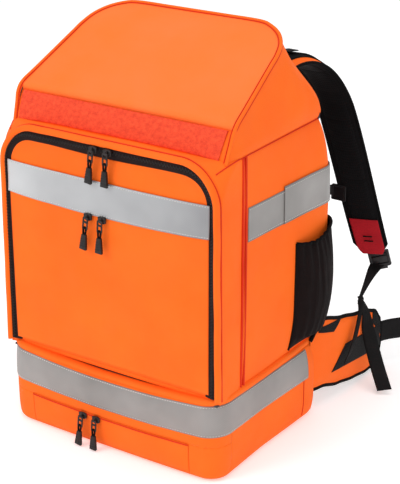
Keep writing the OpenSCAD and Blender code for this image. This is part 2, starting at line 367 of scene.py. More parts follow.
def webbing(
    name: str, run: Sequence[Vector], across: Sequence[Vector], depth: float = 1.6 * MM
) -> bpy.types.Object:
    """A flat strap that follows a run, with its half width and direction given at each point.

    Args:
        name: the object's name.
        run: points down the strap's middle.
        across: for each point, the vector from the middle to one edge.
        depth: the strap's thickness.

    Returns:
        The closed strap.
    """
    middle = Outline(smooth_run(run, 10))
    edges = smooth_run(across, 10)

    def place(u: float, v: float) -> Vector:
        """A point on the strap."""
        return read_run(middle.points, u) + read_run(edges, u) * (2 * v - 1)

    columns = max(8, int(middle.length / 0.004))
    width = 2 * across[0].length
    piece = sheet(name, columns, 6, place, (middle.length, width))
    return thicken(piece, depth, 0.0)


def box_piece(bm: bmesh.types.BMesh, centre: Vector, size: Vector, turn: Matrix | None = None) -> None:
    """Adds a cube scaled to size at centre, turned by turn."""
    matrix = Matrix.Translation(centre) @ (turn or Matrix()).to_4x4() @ Matrix.Diagonal((*size, 1))
    bmesh.ops.create_cube(bm, size=1, matrix=matrix)


def round_edges(bm: bmesh.types.BMesh, width: float, segments: int = 2) -> None:
    """Bevels every edge of a moulded piece."""
    bmesh.ops.bevel(
        bm,
        geom=list(bm.edges),
        offset=width,
        segments=segments,
        profile=0.5,
        affect="EDGES",
        material=-1,
        clamp_overlap=True,
    )


def join(name: str, pieces: Sequence[bpy.types.Object]) -> bpy.types.Object:
    """Joins finished pieces into one object that keeps each one's own finish."""
    first = pieces[0]
    with bpy.context.temp_override(
        active_object=first,
        object=first,
        selected_objects=list(pieces),
        selected_editable_objects=list(pieces),
    ):
        bpy.ops.object.join()
    first.name = name
    first.data.name = name
    return first


def weld(piece: bpy.types.Object) -> bpy.types.Object:
    """Merges the meeting edges of joined surfaces."""
    bm = bmesh.new()
    bm.from_mesh(piece.data)
    bmesh.ops.remove_doubles(bm, verts=bm.verts, dist=0.4 * MM)
    bm.to_mesh(piece.data)
    bm.free()
    return piece


def facing(piece: bpy.types.Object, side: Side) -> bpy.types.Object:
    """Turns a mirrored piece's faces outwards."""
    if side is Side.LEFT:
        piece.data.flip_normals()
    return piece


def stitches(name: str, run: Sequence[Vector], pitch: float = 4.5 * MM) -> bpy.types.Object:
    """A row of short threads along a run of points."""
    line = Outline(run)
    bm = bmesh.new()
    count = max(1, int(line.length / pitch))
    for i in range(count):
        share = (i + 0.5) / count
        ahead = line.along(share)
        turn = ahead.to_track_quat("X", "Z").to_matrix().to_4x4()
        matrix = Matrix.Translation(line.at(share)) @ turn @ Matrix.Diagonal((*STITCH, 1))
        bmesh.ops.create_icosphere(bm, subdivisions=1, radius=0.5, matrix=matrix)
    return make_object(name, bm)


# ---------------------------------------------------------------- finishes


class Nodes:
    """Short calls for building one material's nodes."""

    def __init__(self, name: str) -> None:
        """Starts a material with its shader and coordinates."""
        self.material = bpy.data.materials.new(name)
        self.material.use_nodes = True
        self.tree = self.material.node_tree
        self.shader = self.tree.nodes["Principled BSDF"]
        self.coordinates = self.tree.nodes.new("ShaderNodeTexCoord")

    def add(self, kind: str, **inputs: object) -> bpy.types.Node:
        """Adds a node; an input is a value or another node's socket."""
        made = self.tree.nodes.new("ShaderNode" + kind)
        for key, value in inputs.items():
            self.feed(made.inputs[key.replace("_", " ")], value)
        return made

    def feed(self, socket: bpy.types.NodeSocket, value: object) -> None:
        """Links another node's socket to a socket, or sets its value."""
        if isinstance(value, bpy.types.NodeSocket):
            self.tree.links.new(value, socket)
        else:
            socket.default_value = value

    def noise(self, scale: float, detail: float) -> bpy.types.NodeSocket:
        """A noise value 0..1 with lumps of about 1/scale metres."""
        place = self.coordinates.outputs["Object"]
        made = self.add("TexNoise", Vector=place, Scale=scale, Detail=detail)
        return made.outputs[0]

    def bands(self, period: float, axis: str) -> bpy.types.NodeSocket:
        """Threads a period apart along one axis."""
        place = self.coordinates.outputs["UV"]
        made = self.add("TexWave", Vector=place, Scale=WAVE_SCALE / period)
        made.wave_type = "BANDS"
        made.bands_direction = axis
        return made.outputs[1]

    def maths(self, kind: str, a: object, b: object) -> bpy.types.NodeSocket:
        """One Math node."""
        made = self.tree.nodes.new("ShaderNodeMath")
        made.operation = kind
        for socket, value in zip(made.inputs, (a, b)):
            self.feed(socket, value)
        return made.outputs[0]

    def blend(self, share: object, low: Colour, high: Colour) -> bpy.types.NodeSocket:
        """A colour between two, by a share 0..1."""
        made = self.tree.nodes.new("ShaderNodeMix")
        made.data_type = "RGBA"
        for index, value in ((0, share), (6, (*low, 1)), (7, (*high, 1))):
            self.feed(made.inputs[index], value)
        return made.outputs[2]

    def sum(self, a: object, share_a: float, b: object, share_b: float) -> bpy.types.NodeSocket:
        """Two values added in the given shares."""
        return self.maths("ADD", self.maths("MULTIPLY", a, share_a), self.maths("MULTIPLY", b, share_b))

    def spread(self, value: bpy.types.NodeSocket, *ends: float) -> bpy.types.NodeSocket:
        """Maps a value's range, the first two ends, onto another, the last two."""
        made = self.tree.nodes.new("ShaderNodeMapRange")
        self.tree.links.new(value, made.inputs[0])
        for socket, number in zip(made.inputs[1:5], ends):
            socket.default_value = number
        return made.outputs[0]

    def colour(self, value: bpy.types.NodeSocket) -> None:
        """Gives the shader its base colour."""
        self.tree.links.new(value, self.shader.inputs["Base Color"])

    def roughness(self, value: bpy.types.NodeSocket) -> None:
        """Gives the shader its roughness."""
        self.tree.links.new(value, self.shader.inputs["Roughness"])

    def bump(self, height: bpy.types.NodeSocket, distance: float, strength: float) -> None:
        """Adds a bump on top of any bump that is already there."""
        made = self.add("Bump", Height=height, Distance=distance, Strength=strength)
        before = self.shader.inputs["Normal"].links
        if before:
            self.tree.links.new(before[0].from_socket, made.inputs["Normal"])
        self.tree.links.new(made.outputs[0], self.shader.inputs["Normal"])

    def set(self, **values: object) -> None:
        """Sets uniform numbers on the shader's own sockets."""
        for key, value in values.items():
            self.shader.inputs[key.replace("_", " ")].default_value = value


@dataclass(frozen=True)
class Cloth:
    """Woven cloth with a plain weave, soft rucks of colour and a sheen; glow gives it a painted glow, an
    emission though the cloth is no lamp.
    """

    name: str
    base: Colour
    deep: Colour
    thread: float = 0.9 * MM
    rough: float = 0.72
    glow: float = 0.0
    shine: float = 0.22

    def build(self) -> bpy.types.Material:
        """Makes the material."""
        n = Nodes(self.name)
        weave = n.maths("MULTIPLY", n.bands(self.thread, "X"), n.bands(self.thread, "Y"))
        patch = n.spread(n.noise(9, 4), 0.3, 0.75, 0.0, 1.0)
        n.colour(n.blend(n.sum(patch, 0.55, weave, 0.3), self.deep, self.base))
        n.roughness(n.spread(n.noise(30, 3), 0.2, 0.8, self.rough - 0.06, self.rough + 0.08))
        n.bump(weave, 0.00025, 0.5)
        n.bump(n.noise(55, 4), 0.0012, 0.35)
        n.set(Sheen_Weight=0.08, Sheen_Roughness=0.5, Sheen_Tint=(*self.base, 1))
        n.set(Specular_IOR_Level=self.shine)
        # Painted glow: the cloth emits its own colour, so it shines brighter though it is no lamp.
        if self.glow:
            n.set(Emission_Color=(*self.base, 1), Emission_Strength=self.glow)
        return n.material


@dataclass(frozen=True)
class Reflective:
    """Glass-bead tape with a fine cross-hatched grain and scuffs; it can be painted lighter at one end of
    its length and darker along it, a painted reflection.
    """

    name: str
    base: Colour
    deep: Colour
    # Length along the tape over which its painted reflection fades out, in metres; 0 paints none.
    fade: float = 0.0

    def build(self) -> bpy.types.Material:
        """Makes the material."""
        n = Nodes(self.name)
        hatch = n.maths("MULTIPLY", n.bands(1.6 * MM, "DIAGONAL"), n.bands(1.3 * MM, "X"))
        tone = n.spread(n.noise(9, 3), 0.3, 0.7, 0.0, 1.0)
        if self.fade:
            # Painted reflection: the tape is lightest at the start of its length and darker further along
            # it.
            apart = n.add("SeparateXYZ", Vector=n.coordinates.outputs["UV"])
            along = n.spread(apart.outputs[0], 0.0, self.fade, 1.0, 0.1)
            tone = n.sum(tone, 0.3, along, 0.8)
        n.colour(n.blend(n.sum(tone, 0.75, hatch, 0.25), self.deep, self.base))
        n.roughness(n.spread(n.noise(60, 3), 0.2, 0.8, 0.36, 0.5))
        n.bump(hatch, 0.0002, 0.4)
        n.bump(n.noise(24, 2), 0.0006, 0.25)
        n.set(Metallic=0.35)
        return n.material


@dataclass(frozen=True)
class Pile:
    """Loop pile: thousands of short fuzzy loops."""

    name: str
    base: Colour
    deep: Colour

    def build(self) -> bpy.types.Material:
        """Makes the material."""
        n = Nodes(self.name)
        fuzz = n.noise(900, 3)
        clump = n.noise(160, 4)
        tone = n.spread(n.maths("ADD", fuzz, clump), 0.7, 1.3, 0.0, 1.0)
        n.colour(n.blend(tone, self.deep, self.base))
        n.bump(fuzz, 0.0012, 0.8)
        n.bump(clump, 0.0012, 0.6)
        n.set(Roughness=0.95, Sheen_Weight=0.12, Sheen_Roughness=0.7, Sheen_Tint=(*self.base, 1))
        return n.material


@dataclass(frozen=True)
class Knit:
    """Open knit: dark threads round small regular holes."""

    name: str
    base: Colour
    deep: Colour
    pitch: float = 2.2 * MM
    glint: float = 0.015

    def build(self) -> bpy.types.Material:
        """Makes the material."""
        n = Nodes(self.name)
        cells = n.add("TexVoronoi", Vector=n.coordinates.outputs["UV"], Scale=1 / self.pitch)
        cells.inputs["Randomness"].default_value = 0.15
        hole = n.spread(cells.outputs["Distance"], 0.15, 0.5, 0.0, 1.0)
        patch = n.spread(n.noise(14, 4), 0.3, 0.7, 0.0, 1.0)
        worn = n.maths("ADD", n.maths("MULTIPLY", patch, 0.6), 0.4)
        n.colour(n.blend(n.maths("MULTIPLY", hole, worn), self.deep, self.base))
        n.bump(hole, 0.0006, 0.7)
        n.bump(n.noise(40, 3), 0.001, 0.3)
        n.set(Roughness=0.85, Specular_IOR_Level=0.12)
        n.set(Sheen_Weight=self.glint, Sheen_Roughness=0.4)
        return n.material


@dataclass(frozen=True)
class Strap:
    """Woven strap with ribs across it and paler worn ribs."""

    name: str
    base: Colour
    deep: Colour
    rib: float = 1.8 * MM

    def build(self) -> bpy.types.Material:
        """Makes the material."""
        n = Nodes(self.name)
        ribs = n.bands(self.rib, "X")
        cords = n.bands(self.rib * 1.4, "Y")
        weave = n.maths("MULTIPLY", ribs, n.maths("MULTIPLY_ADD", cords, 0.4))
        weave.node.inputs[1].default_value = 0.5
        worn = n.spread(n.noise(25, 4), 0.4, 0.75, 0.0, 1.0)
        tone = n.maths("MULTIPLY", n.maths("ADD", ribs, worn), 0.5)
        n.colour(n.blend(tone, self.deep, self.base))
        n.bump(weave, 0.0005, 0.7)
        n.bump(n.noise(80, 2), 0.0004, 0.3)
        n.set(Roughness=0.72, Specular_IOR_Level=0.16)
        return n.material


@dataclass(frozen=True)
class Moulded:
    """Moulded plastic or rubber with a fine spark-eroded grain."""

    name: str
    base: Colour
    rough: float = 0.35
    grain: float = 0.3

    def build(self) -> bpy.types.Material:
        """Makes the material."""
        n = Nodes(self.name)
        lighter = tuple(min(1.0, c * 1.6 + 0.004) for c in self.base)
        scuff = n.spread(n.noise(70, 5), 0.45, 0.75, 0.0, 1.0)
        n.colour(n.blend(scuff, self.base, lighter))
        n.roughness(n.spread(n.noise(120, 3), 0.25, 0.75, self.rough - 0.05, self.rough + 0.12))
        n.bump(n.noise(2600, 2), 0.0001, self.grain)
        n.set(Coat_Weight=0.03, Specular_IOR_Level=0.35)
        return n.material


@dataclass(frozen=True)
class Metal:
    """Cast or rolled metal with fine scratches."""

    name: str
    base: Colour
    rough: float = 0.35
    metallic: float = 1.0

    def build(self) -> bpy.types.Material:
        """Makes the material."""
        n = Nodes(self.name)
        worn = n.spread(n.noise(140, 5), 0.4, 0.7, 0.0, 1.0)
        paler = tuple(min(1.0, c * 1.5 + 0.01) for c in self.base)
        n.colour(n.blend(worn, self.base, paler))
        n.roughness(n.spread(n.noise(300, 4), 0.3, 0.7, self.rough - 0.08, self.rough + 0.12))
        n.bump(n.noise(900, 3), 0.00008, 0.4)
        n.set(Metallic=self.metallic)
        return n.material


ORANGE = (1.0, 0.178, 0.011)
ORANGE_DEEP = (0.97, 0.125, 0.006)
# The glow given to the shell and lid cloth is a painted glow.
FINISHES = {
    "shell": Cloth("shell_cloth", ORANGE, ORANGE_DEEP, glow=0.05),
    # The lid's finish is the shell cloth painted paler and pinker, with more glow: painted light where the
    # top faces the light.
    "lid": Cloth("lid_cloth", (1.0, 0.195, 0.050), (1.0, 0.165, 0.012), glow=0.06, shine=0.3),
    "trim": Cloth("piping_cloth", (0.92, 0.050, 0.007), (0.66, 0.024, 0.004)),
    "lining": Cloth("lining_cloth", (0.09, 0.09, 0.10), (0.05, 0.05, 0.06)),
    "black": Cloth("black_cloth", (0.008, 0.007, 0.008), (0.003, 0.003, 0.003), rough=0.85, shine=0.1),
    # The front tape is the lit copy of the tape, with a painted reflection that is lightest at one end.
    "tape": Reflective("front_tape", (0.62, 0.63, 0.64), (0.20, 0.20, 0.21), fade=0.38),
    # The side tape is the same tape painted darker: painted shade for the tape on the sides and base, which
    # faces away from the light.
    "band": Reflective("side_tape", (0.36, 0.34, 0.33), (0.22, 0.21, 0.20)),
    # The thread colour is the stitching's own pale colour and also a painted highlight that brightens the
    # tape's lit edges.
    "thread": Cloth("pale_thread", (0.80, 0.78, 0.76), (0.66, 0.64, 0.62), thread=0.4 * MM),
    "red_thread": Cloth("red_thread", (0.75, 0.06, 0.01), (0.5, 0.03, 0.008), thread=0.4 * MM),
    "loop": Pile("loop_pile", (1.0, 0.10, 0.03), (0.72, 0.04, 0.012)),
    "mesh": Knit("pocket_mesh", (0.013, 0.007, 0.007), (0.002, 0.001, 0.001)),
    "pad_mesh": Knit("pad_mesh", (0.007, 0.006, 0.007), (0.002, 0.002, 0.002), pitch=3.2 * MM),
    "strap": Strap("black_strap", (0.012, 0.010, 0.011), (0.003, 0.003, 0.003)),
    "red_strap": Strap("red_strap", (0.52, 0.010, 0.020), (0.34, 0.006, 0.012)),
    "zip_tape": Strap("zip_tape", (0.022, 0.010, 0.009), (0.008, 0.004, 0.004), rib=1.0 * MM),
    "coil": Moulded("zip_coil", (0.008, 0.005, 0.005), rough=0.5),
    "buckle": Moulded("moulded_buckle", (0.006, 0.005, 0.006), rough=0.36),
    "grip": Moulded("moulded_grip", (0.009, 0.006, 0.006), rough=0.55, grain=0.5),
    "slider": Metal("black_slider", (0.020, 0.016, 0.016), rough=0.4, metallic=0.5),
    "aluminium": Metal("stay_aluminium", (0.60, 0.61, 0.63), rough=0.36),
    "board": Moulded("board_sheet", (0.05, 0.05, 0.055), rough=0.5),
}
MADE: dict[str, bpy.types.Material] = {}


def finish_of(key: str) -> bpy.types.Material:
    """The material for a finish, made once."""
    if key not in MADE:
        MADE[key] = FINISHES[key].build()
    return MADE[key]


def dress(piece: bpy.types.Object, *keys: str) -> bpy.types.Object:
    """Gives a piece its finishes, one to each of its slots."""
    slots = piece.data.materials
    while len(slots) < len(keys):
        slots.append(None)
    for index in range(len(slots)):
        slots[index] = finish_of(keys[min(index, len(keys) - 1)])
    return piece


def place_on(piece: bpy.types.Object, body: str, slot: str, *nodes: str) -> bpy.types.Object:
    """Lets a piece ride on a body, hides the nodes it stands for, and reports it; slot is not used."""
    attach(piece, body)
    if nodes:
        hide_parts(*nodes)
    LOG.info("%s rides on %s", piece.name, body)
    return piece


# ---------------------------------------------------------------- base compartment


@dataclass
class BaseCompartment:
    """The zipped compartment that the pack stands on."""

    low: Vector
    high: Vector
    corner: float = 32 * MM
    foot_round: float = 11 * MM
    flap_half: float = 150 * MM
    flap_low: float = 9 * MM
    flap_high: float = 59 * MM
    side_seam_y: float = 93 * MM
    front_bulge: float = 8 * MM
    rear_bulge: float = 9 * MM

    def ring(self, grow: float) -> Outline:
        """The base's outline seen from above, grown outwards, from the back's middle round the left."""
        x, y = self.high.x + grow, self.high.y + grow
        r = self.corner + grow
        flat = [(0, y)]
        flat += arc(-x + r, y - r, r, 90, 180, 12)
        flat += arc(-x + r, -y + r, r, 180, 270, 12)
        flat += arc(x - r, -y + r, r, 270, 360, 12)
        flat += arc(x - r, y - r, r, 0, 90, 12)
        flat += [(0, y)]
        return Outline([Vector((a, b, 0)) for a, b in flat])

    def skin(self, share: float, z: float, lift: float) -> Vector:
        """A point on the padded wall at a share of the ring and a height."""
        top = self.high.z
        ring = self.plain
        p = ring.at(share)
        ahead = ring.along(share)
        out = Vector((ahead.y, -ahead.x, 0))
        rise = z / top
        ahead_share = max(0.0, min(1.0, (-p.y - 60 * MM) / (88 * MM)))
        across = min(1.0, abs(p.x) / self.high.x)
        swell = 3.0 * MM * dome(rise, 3) + lift
        swell += self.front_bulge * ahead_share * dome(rise * 0.8 + 0.08, 2.4) * (1 - across**2.4)
        swell += ruck(Vector((p.x, p.y, z * 1.6)), 0.085, 1.1 * MM, 3.1) * dome(rise, 4)
        behind = max(0.0, min(1.0, (p.y + 20 * MM) / (130 * MM)))
        swell += self.rear_bulge * behind * abs(out.x) * dome(rise * 0.75 + 0.18, 3)
        if z < self.foot_round:
            down = 1 - z / self.foot_round
            swell -= self.foot_round * (1 - math.sqrt(max(0.0, 1 - down * down)))
        return Vector((p.x, p.y, z + self.crown(p) * rise * rise)) + out * swell

    def crown(self, p: Vector) -> float:
        """How far the base's top edge rises at a point of the ring; it sags in the front's middle."""
        ahead_share = max(0.0, min(1.0, (-p.y - 20 * MM) / (128 * MM)))
        across = min(1.0, abs(p.x) / self.high.x)
        return ahead_share * mix(-5.0, 6.0, across**2) * MM

    def build(self) -> None:
        """Builds the walls, flap, lip, floor and band."""
        self.plain = self.ring(0)
        top = self.high.z
        total = self.plain.length
        middle = 0.5
        reach = (self.high.x - self.corner + self.corner * math.pi / 2) / total
        start, end = middle - reach - 2 * MM / total, middle + reach + 2 * MM / total

        def wall(u: float, v: float) -> Vector:
            """Sides and back, from the right front corner round the back."""
            return self.skin((end + u * (1 - (end - start))) % 1.0, v * top, 0)

        side = sheet("base_side_wall", 220, 28, wall, (total * 0.7, top))
        place_on(dress(thicken(side, 4.5 * MM), "shell"), "pack", "orange_fabric", "base_wall")

        share = self.flap_half / total
        parts = []
        left, right = middle - share - 1 * MM / total, middle + share + 1 * MM / total
        over, under = self.flap_high + 1 * MM, self.flap_low - 1 * MM
        for name, a, b, low, high, columns, rows in (
            ("upper", start, end, over, top, 150, 16),
            ("left", start, left, 0, over, 40, 16),
            ("right", right, end, 0, over, 40, 16),
            ("hem", left, right, 0, under, 90, 4),
        ):

            def place(u: float, v: float, a=a, b=b, low=low, high=high) -> Vector:
                """A point on one piece of the front."""
                return self.skin(mix(a, b, u), mix(low, high, v), 0)

            size = ((b - a) * total, high - low)
            parts.append(sheet(f"base_front_{name}", columns, rows, place, size))
        front = join("base_front_wall", parts)
        weld(front)
        place_on(dress(thicken(front, 4.5 * MM), "shell"), "pack", "orange_fabric", "base_front")

        def flap(u: float, v: float) -> Vector:
            """The zipped flap, puffed between its edges."""
            z = mix(self.flap_low, self.flap_high, v)
            lift = 0.8 * MM * dome(u, 12) * dome(v, 3)
            return self.skin(mix(middle - share, middle + share, u), z, lift)

        size = (2 * self.flap_half, self.flap_high - self.flap_low)
        panel = sheet("base_flap_panel", 110, 14, flap, size)
        place_on(dress(thicken(panel, 4.5 * MM), "shell"), "base_flap", "orange_fabric", "base_flap")
        line = []
        for i in range(61):
            along = mix(middle - share, middle + share, i / 60)
            line.append(self.skin(along, self.flap_high - 1 * MM, 1.2 * MM))
        welt = piping("base_flap_welt", line, 1.0 * MM)
        place_on(dress(welt, "trim"), "base_flap", "orange_fabric")

        def floor(u: float, v: float) -> Vector:
            """The underside, from its middle out to the ring."""
            p = self.plain.at(u) * (1 - self.foot_round / self.high.x * 1.2)
            return Vector((p.x * v, p.y * v, 0.4 * MM * (1 - v)))

        under = sheet("base_underside", 96, 12, lambda u, v: floor(1 - u, v), (total, 0.2))
        place_on(dress(thicken(under, 3 * MM, 1.0), "shell"), "pack", "orange_fabric", "base_floor")
        self.lip()
        self.band()

    def lip(self) -> None:
        """The raised piped edge on top of the base."""
        ring, top = self.plain, self.high.z
        section = [(-4, -5), (0, -4), (3, -1), (4, 3), (2.6, 6.5), (-1, 8.4), (-6, 8.6), (-9, 8)]
        profile = Outline([Vector((a, b, 0)) * MM for a, b in section])

        def place(u: float, v: float) -> Vector:
            """Round the ring and over the lip's section."""
            p, ahead = ring.at(u), ring.along(u)
            out = Vector((ahead.y, -ahead.x, 0))
            q = profile.at(v)
            wave = ruck(Vector((p.x, p.y, 0)), 0.06, 0.5 * MM, 8.0)
            return Vector((p.x, p.y, top + q.y + self.crown(p))) + out * (q.x + wave)

        lip = sheet("base_lip_piping", 260, 14, place, (ring.length, 0.03))
        place_on(dress(thicken(lip, 2 * MM), "shell"), "pack", "orange_fabric", "base_lip")

    def band(self) -> None:
        """The reflective band and its stitched edges."""
        low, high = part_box("base_band")
        total = self.plain.length
        back = (self.high.x + self.high.y * 0.2) / total
        run = (back, 1 - back)

        def place(u: float, v: float) -> Vector:
            """A point on the band."""
            z = mix(low.z, high.z, v)
            return self.skin(mix(*run, u), z, 1.5 * MM - 0.5 * MM * (abs(2 * v - 1) ** 8))

        band = sheet("base_reflective_band", 260, 10, place, ((run[1] - run[0]) * total, high.z - low.z))
        # The base band wears the darker tape finish: painted shade.
        place_on(dress(thicken(band, 1.0 * MM), "band"), "pack", "reflective", "base_band")
        for name, v in (("low", 0.05), ("high", 0.95)):
            line = [place(i / 300, v) for i in range(301)]
            row = stitches(f"base_band_stitch_{name}", line)
            place_on(dress(row, "thread"), "pack", "reflective")
        for side in Side:
            line = []
            for i in range(31):
                z = mix(12 * MM, low.z - 1 * MM, i / 30)
                near = self.share_at(side, self.side_seam_y)
                line.append(self.skin(near, z, 0.2 * MM))
            seam = piping(f"base_side_seam_{side.label}", line, 0.9 * MM, sides=2)
            place_on(dress(seam, "trim"), "pack", "orange_fabric")

    def share_at(self, side: Side, y: float) -> float:
        """The ring's share at a place on one straight side."""
        total = self.plain.length
        back = self.high.x - self.corner + self.corner * math.pi / 2
        start = (back + self.high.y - self.corner - y) / total
        return start if side is Side.LEFT else 1 - start


# ---------------------------------------------------------------- main body


@dataclass
class MainBody:
    """Side panels, their seams, bands and mesh pockets, and the rear wall."""

    half: float
    low_z: float
    high_z: float
    seam_y: float
    back_y: float
    rear_round: float = 15 * MM
    rear_bulge: float = 21 * MM
    pocket_stand: float = 26 * MM

    def side_point(self, side: Side, run: float, z: float, lift: float = 0.0) -> Vector:
        """A point on a side panel.

        Args:
            side: left or right.
            run: distance from the front corner seam along the panel, round the rear corner.
            z: height.
            lift: distance off the cloth.

        Returns:
            The point, in metres.
        """
        straight = self.back_y - self.rear_round - self.seam_y
        rise = (z - self.low_z) / (self.high_z - self.low_z)
        if run <= straight:
            x, y, out = self.half, self.seam_y + run, Vector((1, 0, 0))
        else:
            angle = min((run - straight) / self.rear_round, math.pi / 2)
            out = Vector((math.cos(angle), math.sin(angle), 0))
            x = self.half - self.rear_round + out.x * self.rear_round
            y = self.back_y - self.rear_round + out.y * self.rear_round
            extra = run - straight - self.rear_round * math.pi / 2
            if extra > 0:
                x -= extra
        share = min(max(run / (straight + self.rear_round), 0), 1)
        tuck = max(0.0, min(1.0, (self.run_length - run) / (26 * MM)))
        swell = mix(2.5, self.rear_bulge / MM, share**1.6) * MM * dome(rise, 4.5) * soft(tuck)
        swell += 2.0 * MM * dome(share, 3) * dome(rise, 3)
        pinch = math.exp(-run / (5 * MM)) + math.exp(-(self.high_z - z) / (5 * MM))
        pinch += math.exp(-(z - self.low_z) / (5 * MM))
        swell -= 1.6 * MM * min(pinch, 1.4)
        p = Vector((x, y, z))
        swell += ruck(Vector((y, z, 0.3 * side.value)), 0.11, 1.9 * MM, 5.0) * dome(rise, 6)
        p += out * (swell + lift)
        p.x *= side.value
        return p

    @property
    def run_length(self) -> float:
        """Length of a side panel from its front seam to the back."""
        return self.back_y - self.rear_round - self.seam_y + self.rear_round * math.pi / 2 + 12 * MM

    def build(self) -> None:
        """Builds both sides, the rear wall and everything sewn to the sides."""
        for side in Side:
            self.panel(side)
            self.bands(side)
            self.pocket(side)

        def back(u: float, v: float) -> Vector:
            """The rear wall, a little hollow down its middle."""
            x = mix(self.half - 28 * MM, -self.half + 28 * MM, u)
            z = mix(self.low_z, self.high_z, v)
            lift = 1.5 * MM * dome(v, 3) * abs(2 * u - 1) + ruck(Vector((x, z, 0)), 0.12, 0.8 * MM, 9)
            return Vector((x, self.back_y - 0.5 * MM + lift, z))

        wall = sheet("rear_wall", 60, 60, back, (2 * self.half, self.high_z - self.low_z))
        place_on(dress(thicken(wall, 4 * MM), "black", "lining"), "pack", "black_fabric", "back_wall")
        low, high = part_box("divider_shelf")

        def shelf(u: float, v: float) -> Vector:
            """The divider between the base and the main compartment, sagging in its middle."""
            x, y = mix(low.x, high.x, u), mix(low.y, high.y, v)
            return Vector((x, y, high.z - 2.5 * MM * dome(u, 3) * dome(v, 3)))

        divider = sheet("divider_cloth", 60, 45, shelf, (high.x - low.x, high.y - low.y))
        place_on(dress(thicken(divider, 2.5 * MM), "lining"), "pack", "black_fabric", "divider_shelf")

    def surface(
        self, name: str, side: Side, columns: int, rows: int, place: Place, size: tuple[float, float]
    ) -> bpy.types.Object:
        """A sheet on one side, turned to face outwards on either."""
        if side is Side.LEFT:
            return sheet(name, columns, rows, lambda u, v: place(1 - u, v), size)
        return sheet(name, columns, rows, place, size)

    def panel(self, side: Side) -> None:
        """One side panel and its corner piping."""
        length = self.run_length

        def place(u: float, v: float) -> Vector:
            """A point on the panel."""
            return self.side_point(side, u * length, mix(self.low_z, self.high_z, v))

        label, size = side.label, (length, self.high_z - self.low_z)
        panel = self.surface(f"side_panel_{label}", side, 110, 130, place, size)
        panel = dress(thicken(panel, 4 * MM), "shell", "lining")
        place_on(panel, "pack", "orange_fabric", f"side_{label}")
        for name, offset in (("front", -4.2 * MM), ("rear", 4.2 * MM)):
            line = []
            for i in range(61):
                z = mix(self.low_z, self.high_z - 1 * MM, i / 60)
                x = side.value * (self.half + 0.6 * MM + 1.6 * MM * dome(i / 60, 2))
                line.append(Vector((x, self.seam_y + offset, z)))
            bead = piping(f"corner_piping_{name}_{label}", line, 2.1 * MM)
            place_on(dress(bead, "trim"), "pack", "orange_fabric")

    def bands(self, side: Side) -> None:
        """The two overlapping reflective strips on one side, with their stitching."""
        top = self.high_z
        pieces = []
        rows = []
        for name, start, end, low, high, lift in (
            ("front", 9 * MM, 102 * MM, top - 134 * MM, top - 80 * MM, 1.2 * MM),
            ("rear", 100 * MM, self.run_length - 12 * MM, top - 134 * MM, top - 74 * MM, 2.6 * MM),
        ):

            def place(u: float, v: float, start=start, end=end, low=low, high=high, lift=lift) -> Vector:
                """A point on one strip."""
                run = mix(start, end, u)
                return self.side_point(side, run, mix(low, high, v), lift)

            size = (end - start, high - low)
            strip = self.surface(f"side_strip_{name}_{side.label}", side, 50, 10, place, size)
            pieces.append(thicken(strip, 1.0 * MM))
            for edge, v in (("low", 0.06), ("high", 0.94)):
                line = [place(i / 60, v) for i in range(61)]
                rows.append(stitches(f"side_stitch_{name}_{edge}_{side.label}", line))
        nodes = ("side_bands",) if side is Side.LEFT else ()
        # The side strips wear the darker tape finish: painted shade.
        place_on(dress(join(f"side_reflective_{side.label}", pieces), "band"), "pack", "reflective", *nodes)
        place_on(dress(join(f"side_stitching_{side.label}", rows), "thread"), "pack", "reflective")

    def pocket(self, side: Side) -> None:
        """The gathered elastic mesh pocket on one side."""
        low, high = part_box(f"mesh_pocket_{side.label}")
        start = low.y - self.seam_y
        end = self.run_length - 24 * MM
        bottom, top = low.z, high.z

        def rim(u: float) -> float:
            """Height of the elastic mouth, lowest near its front."""
            return top - 10 * MM + 12 * MM * u - 9 * MM * dome(u, 2)

        def place(u: float, v: float) -> Vector:
            """A point on the gathered mesh."""
            z = mix(bottom, rim(u), v)
            full = dome(u, 2.2) ** 0.75
            belly = 0.30 + 0.70 * math.sin(math.pi * mix(0.12, 0.93, v)) ** 0.8
            stand = self.pocket_stand * full * belly
            stand *= 0.8 + 0.3 * u
            gather = math.sin(u * TAU * 7 + 1.6 * math.sin(4 * v + 3 * u))
            gather *= 0.35 + 0.9 * abs(2 * v - 1) ** 2
            rucks = ruck(Vector((u * 0.3, 0, z * 0.5)), 0.03, 1.5 * MM, 2.0)
            stand += (1.3 * MM * gather * (1.3 - u) + rucks) * full
            tuck = min(1.0, v * 9) if v < 0.12 else 1.0
            return self.side_point(side, mix(start, end, u), z, 1.2 * MM + stand * tuck)

        mesh = self.surface(f"pocket_mesh_{side.label}", side, 150, 80, place, (0.15, top - bottom))
        mesh = dress(thicken(mesh, 1.2 * MM), "mesh")
        place_on(mesh, "pack", "black_mesh", f"mesh_pocket_{side.label}")
        hem = piping(f"pocket_elastic_{side.label}", [place(i / 90, 1.0) for i in range(91)], 2.6 * MM)
        place_on(dress(hem, "black"), "pack", "black_mesh")
        for name, u in (("front", 0.0), ("rear", 1.0)):
            line = [place(u, i / 40) for i in range(41)]
            edge = piping(f"pocket_binding_{name}_{side.label}", line, 1.8 * MM)
            place_on(dress(edge, "black"), "pack", "black_mesh")


# ---------------------------------------------------------------- front chamber and door


